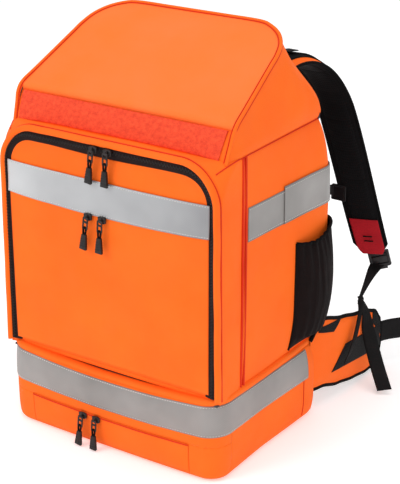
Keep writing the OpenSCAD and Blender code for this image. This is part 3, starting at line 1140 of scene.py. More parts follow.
@dataclass
class Arch:
    """An upright outline with two rounded top corners, facing the front."""

    half: float
    bottom: float
    top: float
    corner: float

    def run(self, grow: float, low: float) -> Outline:
        """The outline from its lower left, over the top, to its lower right.

        Args:
            grow: distance outwards.
            low: height of both ends.

        Returns:
            Points with x and z in use and y at 0.
        """
        half, top, r = self.half + grow, self.top + grow, self.corner + grow
        flat = [(-half, low)]
        flat += arc(-half + r, top - r, r, 180, 90, 12)
        flat += arc(half - r, top - r, r, 90, 0, 12)
        flat += [(half, low)]
        return Outline([Vector((x, 0, z)) for x, z in flat])

    def steps(self, grow: float, low: float, corner: float, top: float = 0.0) -> list[Vector]:
        """The outline as a fixed number of points, so that two of them can be joined.

        Args:
            grow: distance outwards.
            low: height of both ends.
            corner: radius of the two top corners.
            top: extra height of the top.

        Returns:
            79 points with x and z in use.
        """
        half, high = self.half + grow, self.top + grow + top
        flat = [(-half, mix(low, high - corner, i / 18)) for i in range(18)]
        flat += arc(-half + corner, high - corner, corner, 180, 90, 12)
        flat += [(mix(-half + corner, half - corner, i / 18), high) for i in range(1, 18)]
        flat += arc(half - corner, high - corner, corner, 90, 0, 12)
        flat += [(half, mix(high - corner, low, i / 18)) for i in range(1, 19)]
        return [Vector((x, 0, z)) for x, z in flat]

    def width_at(self, z: float) -> float:
        """Half the width at a height."""
        r = self.corner
        over = z - (self.top - r)
        if over <= 0:
            return self.half
        return self.half - r + math.sqrt(max(r * r - over * over, 0))


@dataclass
class FrontChamber:
    """The chamber behind the door: its gusset, raised rim and zip tape."""

    door: Arch
    front_y: float
    seam_y: float
    low_z: float
    seam_z: float
    rim_foot: float = 7 * MM

    def sweep(
        self, name: str, grow: float, section: Sequence[tuple[float, float]], low: float, draw: float
    ) -> bpy.types.Object:
        """A section carried round the arch.

        Args:
            name: the object's name.
            grow: how far outside the door's edge the section's zero lies.
            section: (outwards, backwards from the front) pairs, in millimetres.
            low: height of the ends.
            draw: share of the rim's own inward draw that this sweep follows.

        Returns:
            The swept surface.
        """
        line = self.door.run(grow, low)
        profile = Outline([Vector((a, b, 0)) * MM for a, b in section])

        def place(u: float, v: float) -> Vector:
            """Round the arch and across the section."""
            p, ahead = line.at(u), line.along(u)
            out = Vector((-ahead.z, 0, ahead.x))
            q = profile.at(v)
            wave = ruck(Vector((p.x, q.y, p.z)), 0.07, 0.8 * MM, 4.0) - draw * self.drawn(p, out)
            return p + out * (q.x + wave) + Vector((0, self.front_y + q.y, 0))

        return sheet(name, 170, 4 * len(section), place, (line.length, profile.length))

    def drawn(self, p: Vector, out: Vector) -> float:
        """How far the rim is drawn inwards at a point: most up its sides, least at its foot."""
        height = (p.z - self.low_z) / (self.door.top - self.low_z)
        return 6.0 * MM * min(1.0, abs(out.x) * 1.3) * mix(0.3, 1.0, height)

    def build(self) -> None:
        """Builds the gusset, rim, zip tape and coil."""
        over = self.seam_z - self.door.top - 11 * MM
        self.edges = (
            self.door.steps(14 * MM, self.low_z, self.door.corner + 14 * MM),
            self.door.steps(12 * MM, self.low_z, 5 * MM, over),
        )
        gusset = dress(thicken(self.gusset(), 3 * MM), "shell", "lining")
        section = [(9, 3), (9.6, -2), (12, -5), (15, -5.5), (18, -3), (19, 2), (17.5, 7), (14, 10)]
        rim = self.sweep("front_rim", 0.0, section, self.low_z + self.rim_foot, 1.0)
        rim = dress(thicken(rim, 2 * MM), "shell")

        def sill(u: float, v: float) -> Vector:
            """The strip of cloth under the door."""
            x = mix(-self.door.half - 14 * MM, self.door.half + 14 * MM, u)
            z = mix(self.low_z, self.door.bottom + 1 * MM, v)
            return Vector((x, self.front_y + 6.5 * MM - 1.0 * MM * dome(v), z))

        low = sheet("front_sill", 80, 6, sill, (2 * self.door.half, 0.01))
        low = dress(thicken(low, 3 * MM), "shell")
        cloth = join("front_chamber", [gusset, rim, low])
        place_on(cloth, "pack", "orange_fabric", "front_gusset")
        line = self.door.run(18.6 * MM, self.low_z + self.rim_foot)
        run = []
        for i in range(161):
            p, ahead = line.at(i / 160), line.along(i / 160)
            out = Vector((-ahead.z, 0, ahead.x))
            run.append(p - out * self.drawn(p, out) + Vector((0, self.front_y + 5 * MM, 0)))
        place_on(dress(piping("rim_seam", run, 1.3 * MM, sides=2), "trim"), "pack", "orange_fabric")
        steps = len(self.edges[0]) - 1
        for side, step in ((Side.LEFT, 24), (Side.RIGHT, 54)):
            mitre = [self.gusset_point(step / steps, mix(0.1, 1.0, i / 24)) for i in range(25)]
            seam = piping(f"mitre_seam_{side.label}", mitre, 1.0 * MM, sides=2)
            place_on(dress(seam, "trim"), "pack", "orange_fabric")
        section = [(9.6, 1.2), (6.5, -0.4), (3.0, 0.0), (-3.0, 0.8), (-10.0, 2.5)]
        tape = self.sweep("door_zip_tape", 0.0, section, self.door.bottom, 0.0)
        place_on(dress(thicken(tape, 1 * MM), "zip_tape"), "pack", "black_fabric", "zip_tape")
        place_on(dress(self.coil(), "coil"), "pack", "black_fabric")

    def gusset_point(self, u: float, v: float) -> Vector:
        """A point of the gusset: u from the left foot to the right, v from the rim to the body."""
        a, b = (read_run(edge, u) for edge in self.edges)
        y = mix(self.front_y + 5 * MM, self.seam_y, v)
        p = a.lerp(b, 1 - (1 - v) ** 2.6) + Vector((0, y, 0))
        rise = (p.z - self.low_z) / (self.door.top - self.low_z)
        out = Vector((p.x / self.door.half, 0, 0.6 * rise)).normalized()
        rucks = ruck(Vector((p.x * 0.7, p.y * 1.5, p.z * 0.7)), 0.06, 1.0 * MM, 4.0) * dome(v, 4)
        return p + out * (3.0 * MM * dome(v, 2) + rucks)

    def gusset(self) -> bpy.types.Object:
        """The chamber's sides and top, from the rim's round corners to the body's square ones."""
        size = (1.3, self.seam_y - self.front_y)
        return sheet("front_gusset_cloth", 234, 20, self.gusset_point, size)

    def coil(self) -> bpy.types.Object:
        """The zip's two rows of teeth round the door."""
        line = self.door.run(3.4 * MM, self.door.bottom)
        bm = bmesh.new()
        count = int(line.length / (2.6 * MM))
        for i in range(count):
            share = (i + 0.5) / count
            p, ahead = line.at(share), line.along(share)
            out = Vector((-ahead.z, 0, ahead.x))
            turn = Matrix((ahead, out, Vector((0, -1, 0)))).transposed()
            shift = out * (1.0 * MM if i % 2 else -1.0 * MM)
            box_piece(bm, p + shift + Vector((0, self.front_y - 1.2 * MM, 0)), mm(1.7, 3.6, 1.8), turn)
        round_edges(bm, 0.35 * MM, 1)
        return make_object("door_zip_coil", bm)


@dataclass
class FrontDoor:
    """The padded door with its pocket and reflective band."""

    shape: Arch
    front_y: float
    band_low: float
    band_high: float
    droop: float = 8 * MM

    def skin(self, x: float, z: float, lift: float) -> Vector:
        """A point on the door's face."""
        u = (x / self.shape.width_at(z) + 1) / 2
        v = (z - self.shape.bottom) / (self.shape.top - self.shape.bottom)
        swell = 4.2 * MM * dome(u, 7) * dome(v, 7)
        swell += ruck(Vector((x, z, 0)), 0.12, 1.5 * MM, 1.3) * dome(u, 6) * dome(v, 6)
        swell += ruck(Vector((x * 2.2, z * 0.5, 0)), 0.09, 0.9 * MM, 7.7) * dome(u, 6) * dome(v, 3)
        return Vector((x, self.front_y - swell - lift, z))

    def span(
        self, low: float, high: float, lift: Callable[[float, float], float], inset: float = 0.0
    ) -> Place:
        """A surface across the door between two heights."""
        corner_z = self.shape.top - self.shape.corner
        crowd = 0.7

        def place(u: float, v: float) -> Vector:
            """Across the door, with its rows crowded into the rounded corners."""
            z = mix(low, high, v)
            if high > corner_z + 20 * MM and v > crowd:
                t = (v - crowd) / 0.3
                z = mix(mix(low, high, crowd), high, math.sin(t * math.pi / 2))
            half = self.shape.width_at(min(z, self.shape.top)) - inset
            x = (2 * u - 1) * half
            high_share = max(0.0, (z - self.band_high) / (self.shape.top - self.band_high))
            droop = self.droop * dome(u, 2.2) * high_share**2
            return self.skin(x, z - droop, lift(u, v))

        return place

    def build(self) -> None:
        """Builds the panel, pocket, band and their stitching."""
        top, bottom = self.shape.top, self.shape.bottom
        width = 2 * self.shape.half

        def edge(u: float, v: float) -> float:
            """Turns the panel's edge inwards."""
            return -2.0 * MM * (1 - dome(u, 30)) - 2.0 * MM * (1 - dome(v, 30))

        face = self.span(bottom, top, edge, -1.5 * MM)
        panel = sheet("door_panel_cloth", 130, 120, face, (width, top - bottom))
        panel = dress(thicken(panel, 4.5 * MM), "shell", "lining")
        place_on(panel, "front_door", "orange_fabric", "door_panel")
        low = bottom + 5 * MM

        def pocket_lift(u: float, v: float) -> float:
            """The pocket cloth stands a little off the panel."""
            return 1.4 * MM + 0.8 * MM * dome(u, 10) * dome(v, 10)

        face = self.span(low, self.band_low + 3 * MM, pocket_lift, 3.5 * MM)
        pocket = sheet("door_pocket_cloth", 130, 90, face, (width, self.band_low - low))
        place_on(dress(thicken(pocket, 1.6 * MM), "shell"), "front_door", "orange_fabric", "door_pocket")

        def band_lift(u: float, v: float) -> float:
            """The band lies over the pocket's hidden zip, its lower edge standing proud."""
            return 2.6 * MM + 1.6 * MM * (1 - v) ** 3

        flat = self.span(self.band_low, self.band_high, band_lift, 1.5 * MM)

        def band(u: float, v: float) -> Vector:
            """A point on the band, which sags in its middle."""
            return flat(u, v) - Vector((0, 0, mix(5.0, 1.5, v) * MM * dome(u, 2)))

        tape = sheet("door_reflective_band", 130, 14, band, (width, self.band_high - self.band_low))
        place_on(dress(thicken(tape, 1.2 * MM), "tape"), "front_door", "reflective", "door_band")
        rows = []
        for i, v in enumerate((0.05, 0.95)):
            line = [band(k / 120, v) for k in range(121)]
            rows.append(stitches(f"door_band_stitch_{i}", line))
        place_on(dress(join("door_band_stitching", rows), "thread"), "front_door", "reflective")
        seam = self.span(bottom, top, lambda u, v: 0.4 * MM, 6 * MM)
        for name, u in (("left", 0.0), ("right", 1.0)):
            run = [seam(u, v / 90) for v in range(2, 70)]
            row = stitches(f"door_edge_stitch_{name}", run, 5 * MM)
            place_on(dress(row, "red_thread"), "front_door", "orange_fabric")


# ---------------------------------------------------------------- hood


@dataclass
class Hood:
    """The tapered hood, its sloping lid, piping and loop band."""

    seam_z: float
    half: float
    back_y: float
    facet_half: float = 190 * MM
    corner: float = 74 * MM
    taper: float = 16 * MM
    fold: float = 9 * MM
    rear_bulge: float = 14 * MM

    def __post_init__(self) -> None:
        """Reads the lid's plane from the frame."""
        low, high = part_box("lid")
        self.lid_half = high.x
        self.front = Vector((0, low.y + 1.8 * MM, low.z + 3.6 * MM))
        self.back = Vector((0, high.y, high.z))
        self.slope = (self.back - self.front).normalized()
        self.rise = Vector((0, -self.slope.z, self.slope.y))
        self.length = (self.back - self.front).length
        self.facet_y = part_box("hood")[0].y
        centre = Vector((self.lid_half - self.taper - self.corner, self.length - self.corner))
        reach = Vector((self.lid_half, 0)) - centre
        self.tangent = math.atan2(reach.y, reach.x) + math.acos(self.corner / reach.length)
        self.centre = centre

    def on_lid(self, x: float, u: float, lift: float = 0.0) -> Vector:
        """A point on the lid's plane."""
        return Vector((x, 0, 0)) + self.front + self.slope * u + self.rise * lift

    def half_at(self, along: float, grow: float = 0.0) -> float:
        """Half the lid's width at a distance from its front."""
        touch_x = self.centre.x + self.corner * math.cos(self.tangent)
        touch_y = self.centre.y + self.corner * math.sin(self.tangent)
        if along < touch_y:
            return mix(self.lid_half, touch_x, along / touch_y) + grow
        r = self.corner + grow
        over = min(along - self.centre.y, r)
        return self.centre.x + math.sqrt(max(r * r - over * over, 0))

    def edge_keys(self, grow: float) -> list[Vector]:
        """Points up the facet's side, round the lid's corner and along its edge to the back's middle."""
        low = Vector((self.facet_half + grow, self.facet_y, self.seam_z - 2 * MM))
        keys = [low] + [low.lerp(self.on_lid(self.lid_half + grow, 0), t) for t in (0.5, 0.84)]
        for along in (10, 40, 90, 135):
            keys.append(self.on_lid(self.half_at(along * MM, grow), along * MM))
        r = self.corner + grow
        for angle in (math.degrees(self.tangent), 26, 46, 66, 84):
            a = math.radians(angle)
            keys.append(self.on_lid(self.centre.x + r * math.cos(a), self.centre.y + r * math.sin(a)))
        keys.append(self.on_lid(self.centre.x * 0.5, self.length + grow))
        return keys + [self.on_lid(0, self.length + grow)]

    def seam_keys(self) -> list[Vector]:
        """Points on the seam under the hood, in step with edge_keys."""
        z, r = self.seam_z, 15 * MM
        keys = [Vector((self.facet_half, self.facet_y, z - 4 * MM))]
        for y in (-104, -88, -66, -34, 10, 58):
            keys.append(Vector((self.half - (3 * MM if y < -100 else 0), y * MM, z)))
        keys.append(Vector((self.half, self.back_y - r, z)))
        for angle in (25, 50, 75):
            a = math.radians(angle)
            keys.append(Vector((self.half - r + r * math.cos(a), self.back_y - r + r * math.sin(a), z)))
        keys.append(Vector((self.half - r * 1.6, self.back_y, z)))
        return keys + [Vector((self.half * 0.4, self.back_y, z)), Vector((0, self.back_y, z))]

    def both_sides(self, keys: Sequence[Vector]) -> list[Vector]:
        """Smooths the right half's keys and adds the mirrored left half."""
        right = smooth_run(keys)
        return right + [Vector((-p.x, p.y, p.z)) for p in reversed(right[:-1])]

    def edge(self, grow: float, drop: float = 0.0) -> list[Vector]:
        """The whole edge from the facet's right foot over and round to its left foot."""
        return [p - self.rise * drop for p in self.both_sides(self.edge_keys(grow))]

    def facet(self, u: float, v: float) -> Vector:
        """A point on the front facet, rolling over into the lid."""
        foot = self.seam_z + (3 - 7 * abs(2 * u - 1) ** 6) * MM
        low = Vector((mix(-1, 1, u) * self.facet_half, self.facet_y, foot))
        high = self.on_lid(mix(-1, 1, u) * self.lid_half, 1 * MM, -self.fold * 0.8)
        p = low.lerp(high, v)
        return p + Vector((0, -1, 0.35)) * (2.0 * MM * dome(v, 3) + ruck(p, 0.08, 0.8 * MM, 3.0) * dome(v))

    def build(self) -> None:
        """Builds the hood's cloth, facet, lid, piping and loop band."""
        self.sides()
        self.lid()
        self.trim()

    def sides(self) -> None:
        """The cloth between the seam and the lid's edge."""
        top = self.edge(1 * MM, 2 * MM)
        low = self.both_sides(self.seam_keys())

        def place(u: float, v: float) -> Vector:
            """Round the hood from front right to front left, and up from the seam to the lid."""
            a, b = read_run(low, u), read_run(top, u)
            out = Vector((a.x, a.y - 20 * MM, 0)).normalized()
            rear = max(0.0, min(1.0, (a.y + 60 * MM) / (200 * MM)))
            foot = max(0.0, min(1.0, (a.y + 119 * MM) / (50 * MM)))
            bulge = mix(2.5 * MM, self.rear_bulge, rear) * math.sin(math.pi * (1 - v) ** 2.2) * foot
            bulge -= 1.6 * MM * math.exp(-v / 0.04) * foot
            p = a.lerp(b, v)
            crease = abs(p.y - 96 * MM * (0.9 + 0.2 * v))
            bulge -= 1.4 * MM * math.exp(-((crease / (9 * MM)) ** 2)) * dome(v, 3)
            bulge += ruck(Vector((p.y, p.z, p.x * 0.4)), 0.09, 2.2 * MM, 6.0) * dome(v, 4) * foot
            return p + out * bulge

        cloth = sheet("hood_cloth", 220, 48, place, (1.0, 0.15))
        cloth = dress(thicken(cloth, 3.5 * MM), "shell", "lining")
        front = sheet("hood_facet", 90, 12, self.facet, (2 * self.half, 0.045))
        front = dress(thicken(front, 3 * MM), "shell", "lining")
        place_on(join("hood_shell", [cloth, front]), "pack", "orange_fabric", "hood")

        def band(u: float, v: float) -> Vector:
            """The loop band on the facet."""
            spot = self.facet(mix(0.018, 0.972, u), mix(0.05, 0.97, v))
            fuzz = ruck(spot, 0.004, 0.35 * MM, 1.0)
            return spot + Vector((0, -0.93, 0.36)) * (2.2 * MM + fuzz - 0.8 * MM * (1 - dome(v, 14)))

        pile = sheet("loop_band_pile", 300, 34, band, (2 * self.half, 0.04))
        place_on(dress(thicken(pile, 1.6 * MM), "loop"), "pack", "loop", "loop_band")

    def lid(self) -> None:
        """The lid, a low soft dome that rolls over at its front."""

        def place(u: float, v: float) -> Vector:
            """Across the lid and from its front to its back."""
            along = (soft(v) * 0.3 + v * 0.7) * self.length
            near = min(along, self.length - 0.3 * MM)
            x = mix(-1, 1, u) * self.half_at(near)
            lift = 5.0 * MM * dome(u, 2.6) * dome(v * 0.9 + 0.1, 2.2)
            lift += ruck(Vector((x, along, 0)), 0.13, 2.2 * MM, 2.2) * dome(u, 4) * dome(v, 4)
            if along < self.fold:
                lift -= self.fold - math.sqrt(self.fold**2 - (self.fold - along) ** 2)
            return self.on_lid(x, along, lift)

        top = sheet("lid_cloth", 110, 100, place, (2 * self.lid_half, self.length))
        # The lid wears the paler lid finish: painted light on the top face.
        place_on(dress(thicken(top, 3.5 * MM), "lid", "lining"), "pack", "orange_lid", "lid")

    def trim(self) -> None:
        """The bead round the lid's edge and the sewn lines beside it."""
        bead = piping("lid_bead", self.edge(1.6 * MM), 2.7 * MM)
        place_on(dress(bead, "shell"), "pack", "orange_fabric", "lid_piping")
        inner = [p + Vector((0, -0.5, 0.8)) * 1.2 * MM for p in self.edge(-2.0 * MM)]
        place_on(dress(piping("lid_seam_inner", inner, 0.8 * MM, sides=2), "trim"), "pack", "orange_fabric")
        outer = [p - Vector((0, -0.3, 1)) * 3.6 * MM for p in self.edge(3.0 * MM)][20:-20]
        place_on(dress(piping("lid_seam_outer", outer, 0.8 * MM, sides=2), "trim"), "pack", "orange_fabric")
        low = self.both_sides(self.seam_keys())
        line = [Vector((p.x * 1.001, p.y, p.z)) for p in low[16:-16]]
        place_on(dress(piping("side_seam", line, 0.8 * MM, sides=2), "trim"), "pack", "orange_fabric")


# ---------------------------------------------------------------- harness


def bezier(a: Vector, b: Vector, c: Vector, d: Vector, n: int) -> list[Vector]:
    """Points of a cubic curve."""
    run = []
    for i in range(n + 1):
        t = i / n
        s = 1 - t
        run.append(a * (s * s * s) + b * (3 * s * s * t) + c * (3 * s * t * t) + d * (t * t * t))
    return run


@dataclass
class ShoulderStrap:
    """One padded shoulder strap with its tab, ladder lock, webbing, lifter and sternum strap."""

    side: Side
    top_width: float = 80 * MM
    end_width: float = 54 * MM
    depth: float = 15 * MM
    twist: float = math.radians(26)
    ladder: Vector = mm(212, 350, 200)

    def __post_init__(self) -> None:
        """Lays out the strap's middle line."""
        start = mm(0, 156, 545)
        run = bezier(start, mm(0, 200, 574), mm(0, 285, 583), mm(0, 310, 480), 24)
        run += bezier(mm(0, 311, 474), mm(0, 322, 410), mm(0, 325, 300), mm(0, 336, 216), 24)
        spread = [78 * MM + 0.25 * (p.y - start.y) - 0.25 * (p.z - start.z) for p in run]
        self.middle = Outline([p + Vector((x, 0, 0)) for p, x in zip(run, spread)])

    def flip(self, p: Vector) -> Vector:
        """Mirrors a point of the right strap onto this side."""
        return Vector((p.x * self.side.value, p.y, p.z))

    def point(self, u: float, across: float, lift: float) -> Vector:
        """A point of the strap on its own side.

        Args:
            u: share of the strap's length.
            across: -1 at the inner edge to 1 at the outer edge.
            lift: distance off the middle, positive outwards from the wearer.

        Returns:
            The point, in metres.
        """
        p, ahead = self.middle.at(u), self.middle.along(u)
        angle = self.twist * max(0.0, u - 0.35) / 0.65
        wide = Vector((math.cos(angle), math.sin(angle), 0))
        out = ahead.cross(wide).normalized() * -1
        half = mix(self.top_width, self.end_width, u**0.8) / 2
        return self.flip(p + wide * half * across + out * lift)

    @property
    def body(self) -> str:
        """The body that the strap rides on."""
        return f"shoulder_strap_{self.side.label}"

    def build(self) -> None:
        """Builds every piece of the strap."""
        self.pad()
        self.tab()
        self.lock()
        self.web()
        self.lifter()
        self.sternum()

    def pad(self) -> None:
        """The padded strap, its binding and its sewn channels."""

        def middle(u: float, v: float) -> Vector:
            """The strap's middle surface with a rounded lower end."""
            end = 1 - 0.035 * abs(2 * v - 1) ** 2.5
            return self.point(u * end, 2 * v - 1, 0)

        def lift(u: float, v: float, way: int) -> Vector:
            """The crowned faces, pinched at the sewn channels."""
            crown = dome(v, 3.5) * dome(mix(0.04, 0.96, u), 24)
            channel = math.exp(-((abs(2 * v - 1) - 0.74) / 0.05) ** 2)
            across = math.exp(-(((u * 9) % 1 - 0.5) / 0.045) ** 2) * (abs(2 * v - 1) < 0.7)
            high = self.depth / 2 * crown * (1 - 0.30 * channel - (0.16 * across if way < 0 else 0))
            return self.point(u, 2 * v - 1, way * high) - self.point(u, 2 * v - 1, 0)

        width = (self.middle.length, self.top_width)
        strap = pillow(f"strap_pad_{self.side.label}", 190, 36, middle, lift, width)
        facing(strap, self.side)
        place_on(dress(strap, "shell", "pad_mesh"), self.body, "black_fabric", f"strap_{self.side.label}")
        border = [middle(i / 60, 1) for i in range(61)] + [middle(1, 1 - i / 14) for i in range(1, 15)]
        border += [middle(1 - i / 60, 0) for i in range(1, 61)]
        binding = piping(f"strap_binding_{self.side.label}", border, 2.6 * MM)
        place_on(dress(binding, "black"), self.body, "black_fabric")
        for name, start, end, high in (("daisy", 0.10, 0.78, 8.6), ("upper", 0.16, 0.36, 11.0)):
            run = [self.point(mix(start, end, i / 14), 0, high * MM) for i in range(15)]
            wide = [self.point(0.5, 0.33, 0) - self.point(0.5, 0, 0) for _ in run]
            strip = webbing(f"strap_{name}_web_{self.side.label}", run, wide)
            place_on(dress(strip, "strap"), self.body, "webbing")

        def yoke(u: float, v: float) -> Vector:
            """A point on the black patch that covers the strap's upper end."""
            across = mix(-0.98, 0.62, u)
            high = self.depth / 2 * dome((across + 1) / 2, 3.5) + 1.2 * MM
            return self.point(mix(0.01, 0.30, v), across, high)

        patch = facing(sheet(f"strap_yoke_{self.side.label}", 24, 30, yoke, (0.06, 0.12)), self.side)
        place_on(dress(thicken(patch, 1.2 * MM, 0.0), "black"), self.body, "black_fabric")

    def tab(self) -> None:
        """The red tab sewn over the strap's lower end, with two bar tacks."""

        def place(u: float, v: float) -> Vector:
            """A point on the tab; its tip is rounded."""
            half = 0.86 * (1 - 0.55 * max(0.0, (0.32 - v) / 0.32) ** 2.2)
            along = mix(1.012, 0.868, v)
            return self.point(along, half * (2 * u - 1), -(9.5 + 0.8 * dome(u, 4)) * MM)

        tab = facing(sheet(f"red_tab_{self.side.label}", 24, 24, place, (0.044, 0.048)), self.side)
        tab = dress(thicken(tab, 2.0 * MM), "red_strap")
        place_on(tab, self.body, "red_tab", f"tab_{self.side.label}")
        tacks = []
        for v in (0.44, 0.56):
            run = [place(mix(0.34, 0.66, i / 8), v) + Vector((0, -1.0 * MM, 0)) for i in range(9)]
            tacks.append(dress(piping(f"tack_{v}_{self.side.label}", run, 1.1 * MM, sides=2), "black"))
        place_on(join(f"tab_tacks_{self.side.label}", tacks), self.body, "red_tab")

    def lock(self) -> None:
        """The moulded ladder lock and the strap end that holds it."""
        bm = bmesh.new()
        for z, depth, high in ((-11.5, 9, 6.5), (-1, 7, 13.5), (10.5, 7.5, 8)):
            box_piece(bm, mm(0, 0, z), mm(32, depth, high))
        for x in (-15.5, 15.5):
            box_piece(bm, mm(x, 0, 0), mm(5, 8, 28))
        box_piece(bm, mm(0, -3.4, -15), mm(22, 3, 7))
        round_edges(bm, 1.2 * MM, 2)
        turn = Matrix.Rotation(math.radians(24), 4, "Z") @ Matrix.Rotation(math.radians(-16), 4, "Y")
        bmesh.ops.transform(bm, matrix=Matrix.Translation(self.ladder) @ turn, verts=bm.verts)
        bmesh.ops.scale(bm, vec=(self.side.value, 1, 1), verts=bm.verts)
        if self.side is Side.LEFT:
            bmesh.ops.reverse_faces(bm, faces=bm.faces)
        lock = make_object(f"ladder_lock_{self.side.label}", bm)
        place_on(dress(lock, "buckle"), self.body, "buckle", f"ladder_{self.side.label}")
        end = self.point(0.985, 0.15, 0)
        hold = self.flip(self.ladder + mm(2, 0, 11))
        wide = self.flip(mm(11, 5, 0))
        run = [end, end.lerp(hold, 0.5) + mm(0, -1.5, -2), hold]
        chape = webbing(f"ladder_chape_{self.side.label}", run, [wide] * 3, 3 * MM)
        place_on(dress(chape, "strap"), self.body, "webbing")

    def web(self) -> None:
        """The adjusting webbing: down from the ladder lock, twisted, anchored, with a free tail."""
        flip = self.flip

        def keys(*points: tuple[float, float, float]) -> list[Vector]:
            """Points on this side, given in millimetres on the right."""
            return [flip(mm(*point)) for point in points]

        top = flip(self.ladder + mm(-1, -3, -9))
        knot = flip(mm(216, 272, 154))
        run = [top, *keys((209, 336, 184), (212, 306, 170)), knot]
        wide = keys((12, 5, 0), (10, 4, 1), (6, 4, 5), (2, 3, 3))
        upper = webbing(f"adjuster_upper_{self.side.label}", run, wide)
        dress(upper, "strap")
        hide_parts(f"strap_web_{self.side.label}")
        self.body
        tuple(knot)
        tuple(top)
        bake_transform(upper)
        run = [knot, *keys((223, 262, 142), (227.5, 246, 118), (229, 228, 90), (227, 214, 70))]
        wide = keys((2, 3, 3), (1, 6, 5), (0.5, 9, 6), (0, 11, 5), (0, 11, 5))
        anchor = webbing(f"adjuster_anchor_{self.side.label}", run, wide)
        place_on(dress(anchor, "strap"), "pack", "webbing")
        run = [knot, *keys((225, 279, 128), (233, 277, 96), (256, 264, 50), (281, 251, 8))]
        wide = keys((2, 3, 3), (3, 7, 2), (8, 8, 1), (10, 7, 1), (10.5, 6.5, 2))
        tail = webbing(f"adjuster_tail_{self.side.label}", run, wide)
        place_on(dress(tail, "strap"), "pack", "webbing")
        run = [knot + flip(mm(-1, 2, 5)), knot + flip(mm(3, 0, 0)), knot + flip(mm(2, -2, -6))]
        wrap = webbing(f"adjuster_twist_{self.side.label}", run, [flip(mm(3, 3, 1))] * 3, 3 * MM)
        place_on(dress(wrap, "strap"), "pack", "webbing")

    def lifter(self) -> None:
        """The load lifter from the hood's back to the top of the strap."""
        start, end = self.flip(mm(LIFTER_X, 137, 598)), self.flip(mm(96, 236, 579))
        sag = start.lerp(end, 0.5) - mm(0, 0, 4)
        lifter = webbing(f"lifter_web_{self.side.label}", [start, sag, end], [mm(9, 0, 0)] * 3)
        dress(lifter, "strap")
        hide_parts(f"lifter_{self.side.label}")
        self.body
        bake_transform(lifter)

    def sternum(self) -> None:
        """The sternum strap that hangs unbuckled from its slider."""
        label = self.side.label
        keys = ((147, 322, 319), (128, 320, 319), (113, 319.5, 312), (108, 320, 290), (108, 320, 236))
        run = [self.flip(mm(*key)) for key in keys]
        keys = ((0, 1, 9), (0, 0, 9), (6, 0, 7), (9, 0, 1), (9, 0, 0))
        web = webbing(f"sternum_webbing_{label}", run, [self.flip(mm(*key)) for key in keys])
        place_on(dress(web, "strap"), f"sternum_{label}", "webbing", f"sternum_web_{label}")
        bm = bmesh.new()
        for z in (-12, 12):
            box_piece(bm, self.flip(mm(146, 316, 319 + z)), mm(26, 5, 4))
        for x in (134, 158):
            box_piece(bm, self.flip(mm(x, 316, 319)), mm(4, 5, 26))
        box_piece(bm, self.flip(mm(146, 315.5, 319)), mm(22, 2.4, 21))
        round_edges(bm, 1.0 * MM, 2)
        slide = make_object(f"sternum_slide_{label}", bm)
        place_on(dress(slide, "buckle"), self.body, "buckle")


class BuckleHalf(Enum):
    """The two halves of a side-release buckle."""

    SOCKET = "socket"
    PLUG = "plug"


def side_release(name: str, half: BuckleHalf, size: Vector, frame: Matrix) -> bpy.types.Object:
    """One half of a side-release buckle.

    Args:
        name: the object's name.
        half: socket or plug.
        size: width, thickness and length in metres; the length runs along -Z from the webbing.
        frame: places the half, whose origin is at its webbing end.

    Returns:
        The moulded half.
    """
    bm = bmesh.new()
    w, t, n = size
    box_piece(bm, Vector((0, 0, -2.5 * MM)), Vector((w, t * 0.8, 4 * MM)))
    box_piece(bm, Vector((0, 0, -10 * MM)), Vector((w, t * 0.7, 4 * MM)))
    for way in (-1, 1):
        box_piece(bm, Vector((way * (w / 2 - 2 * MM), 0, -7 * MM)), Vector((4 * MM, t * 0.9, 14 * MM)))
    if half is BuckleHalf.SOCKET:
        for way in (-1, 1):
            shell = Vector((w * 0.92, t * 0.26, n - 12 * MM))
            box_piece(bm, Vector((0, way * t * 0.36, -(n + 12 * MM) / 2)), shell)
            box_piece(bm, Vector((way * w * 0.43, 0, -n + 5 * MM)), Vector((w * 0.12, t * 0.9, 10 * MM)))
        box_piece(bm, Vector((0, 0, -14 * MM)), Vector((w * 0.9, t * 0.9, 6 * MM)))
    else:
        box_piece(bm, Vector((0, 0, -14 * MM)), Vector((w * 0.86, t * 0.8, 8 * MM)))
        for way in (-1, 0, 1):
            prong = Vector((w * 0.10, t * 0.45, n - 16 * MM))
            box_piece(bm, Vector((way * w * 0.34, 0, -(n + 16 * MM) / 2)), prong)
            if way:
                box_piece(bm, Vector((way * w * 0.37, 0, -n + 5 * MM)), Vector((w * 0.16, t * 0.45, 9 * MM)))
    round_edges(bm, 0.9 * MM, 2)
    bmesh.ops.transform(bm, matrix=frame, verts=bm.verts)
    return make_object(name, bm)


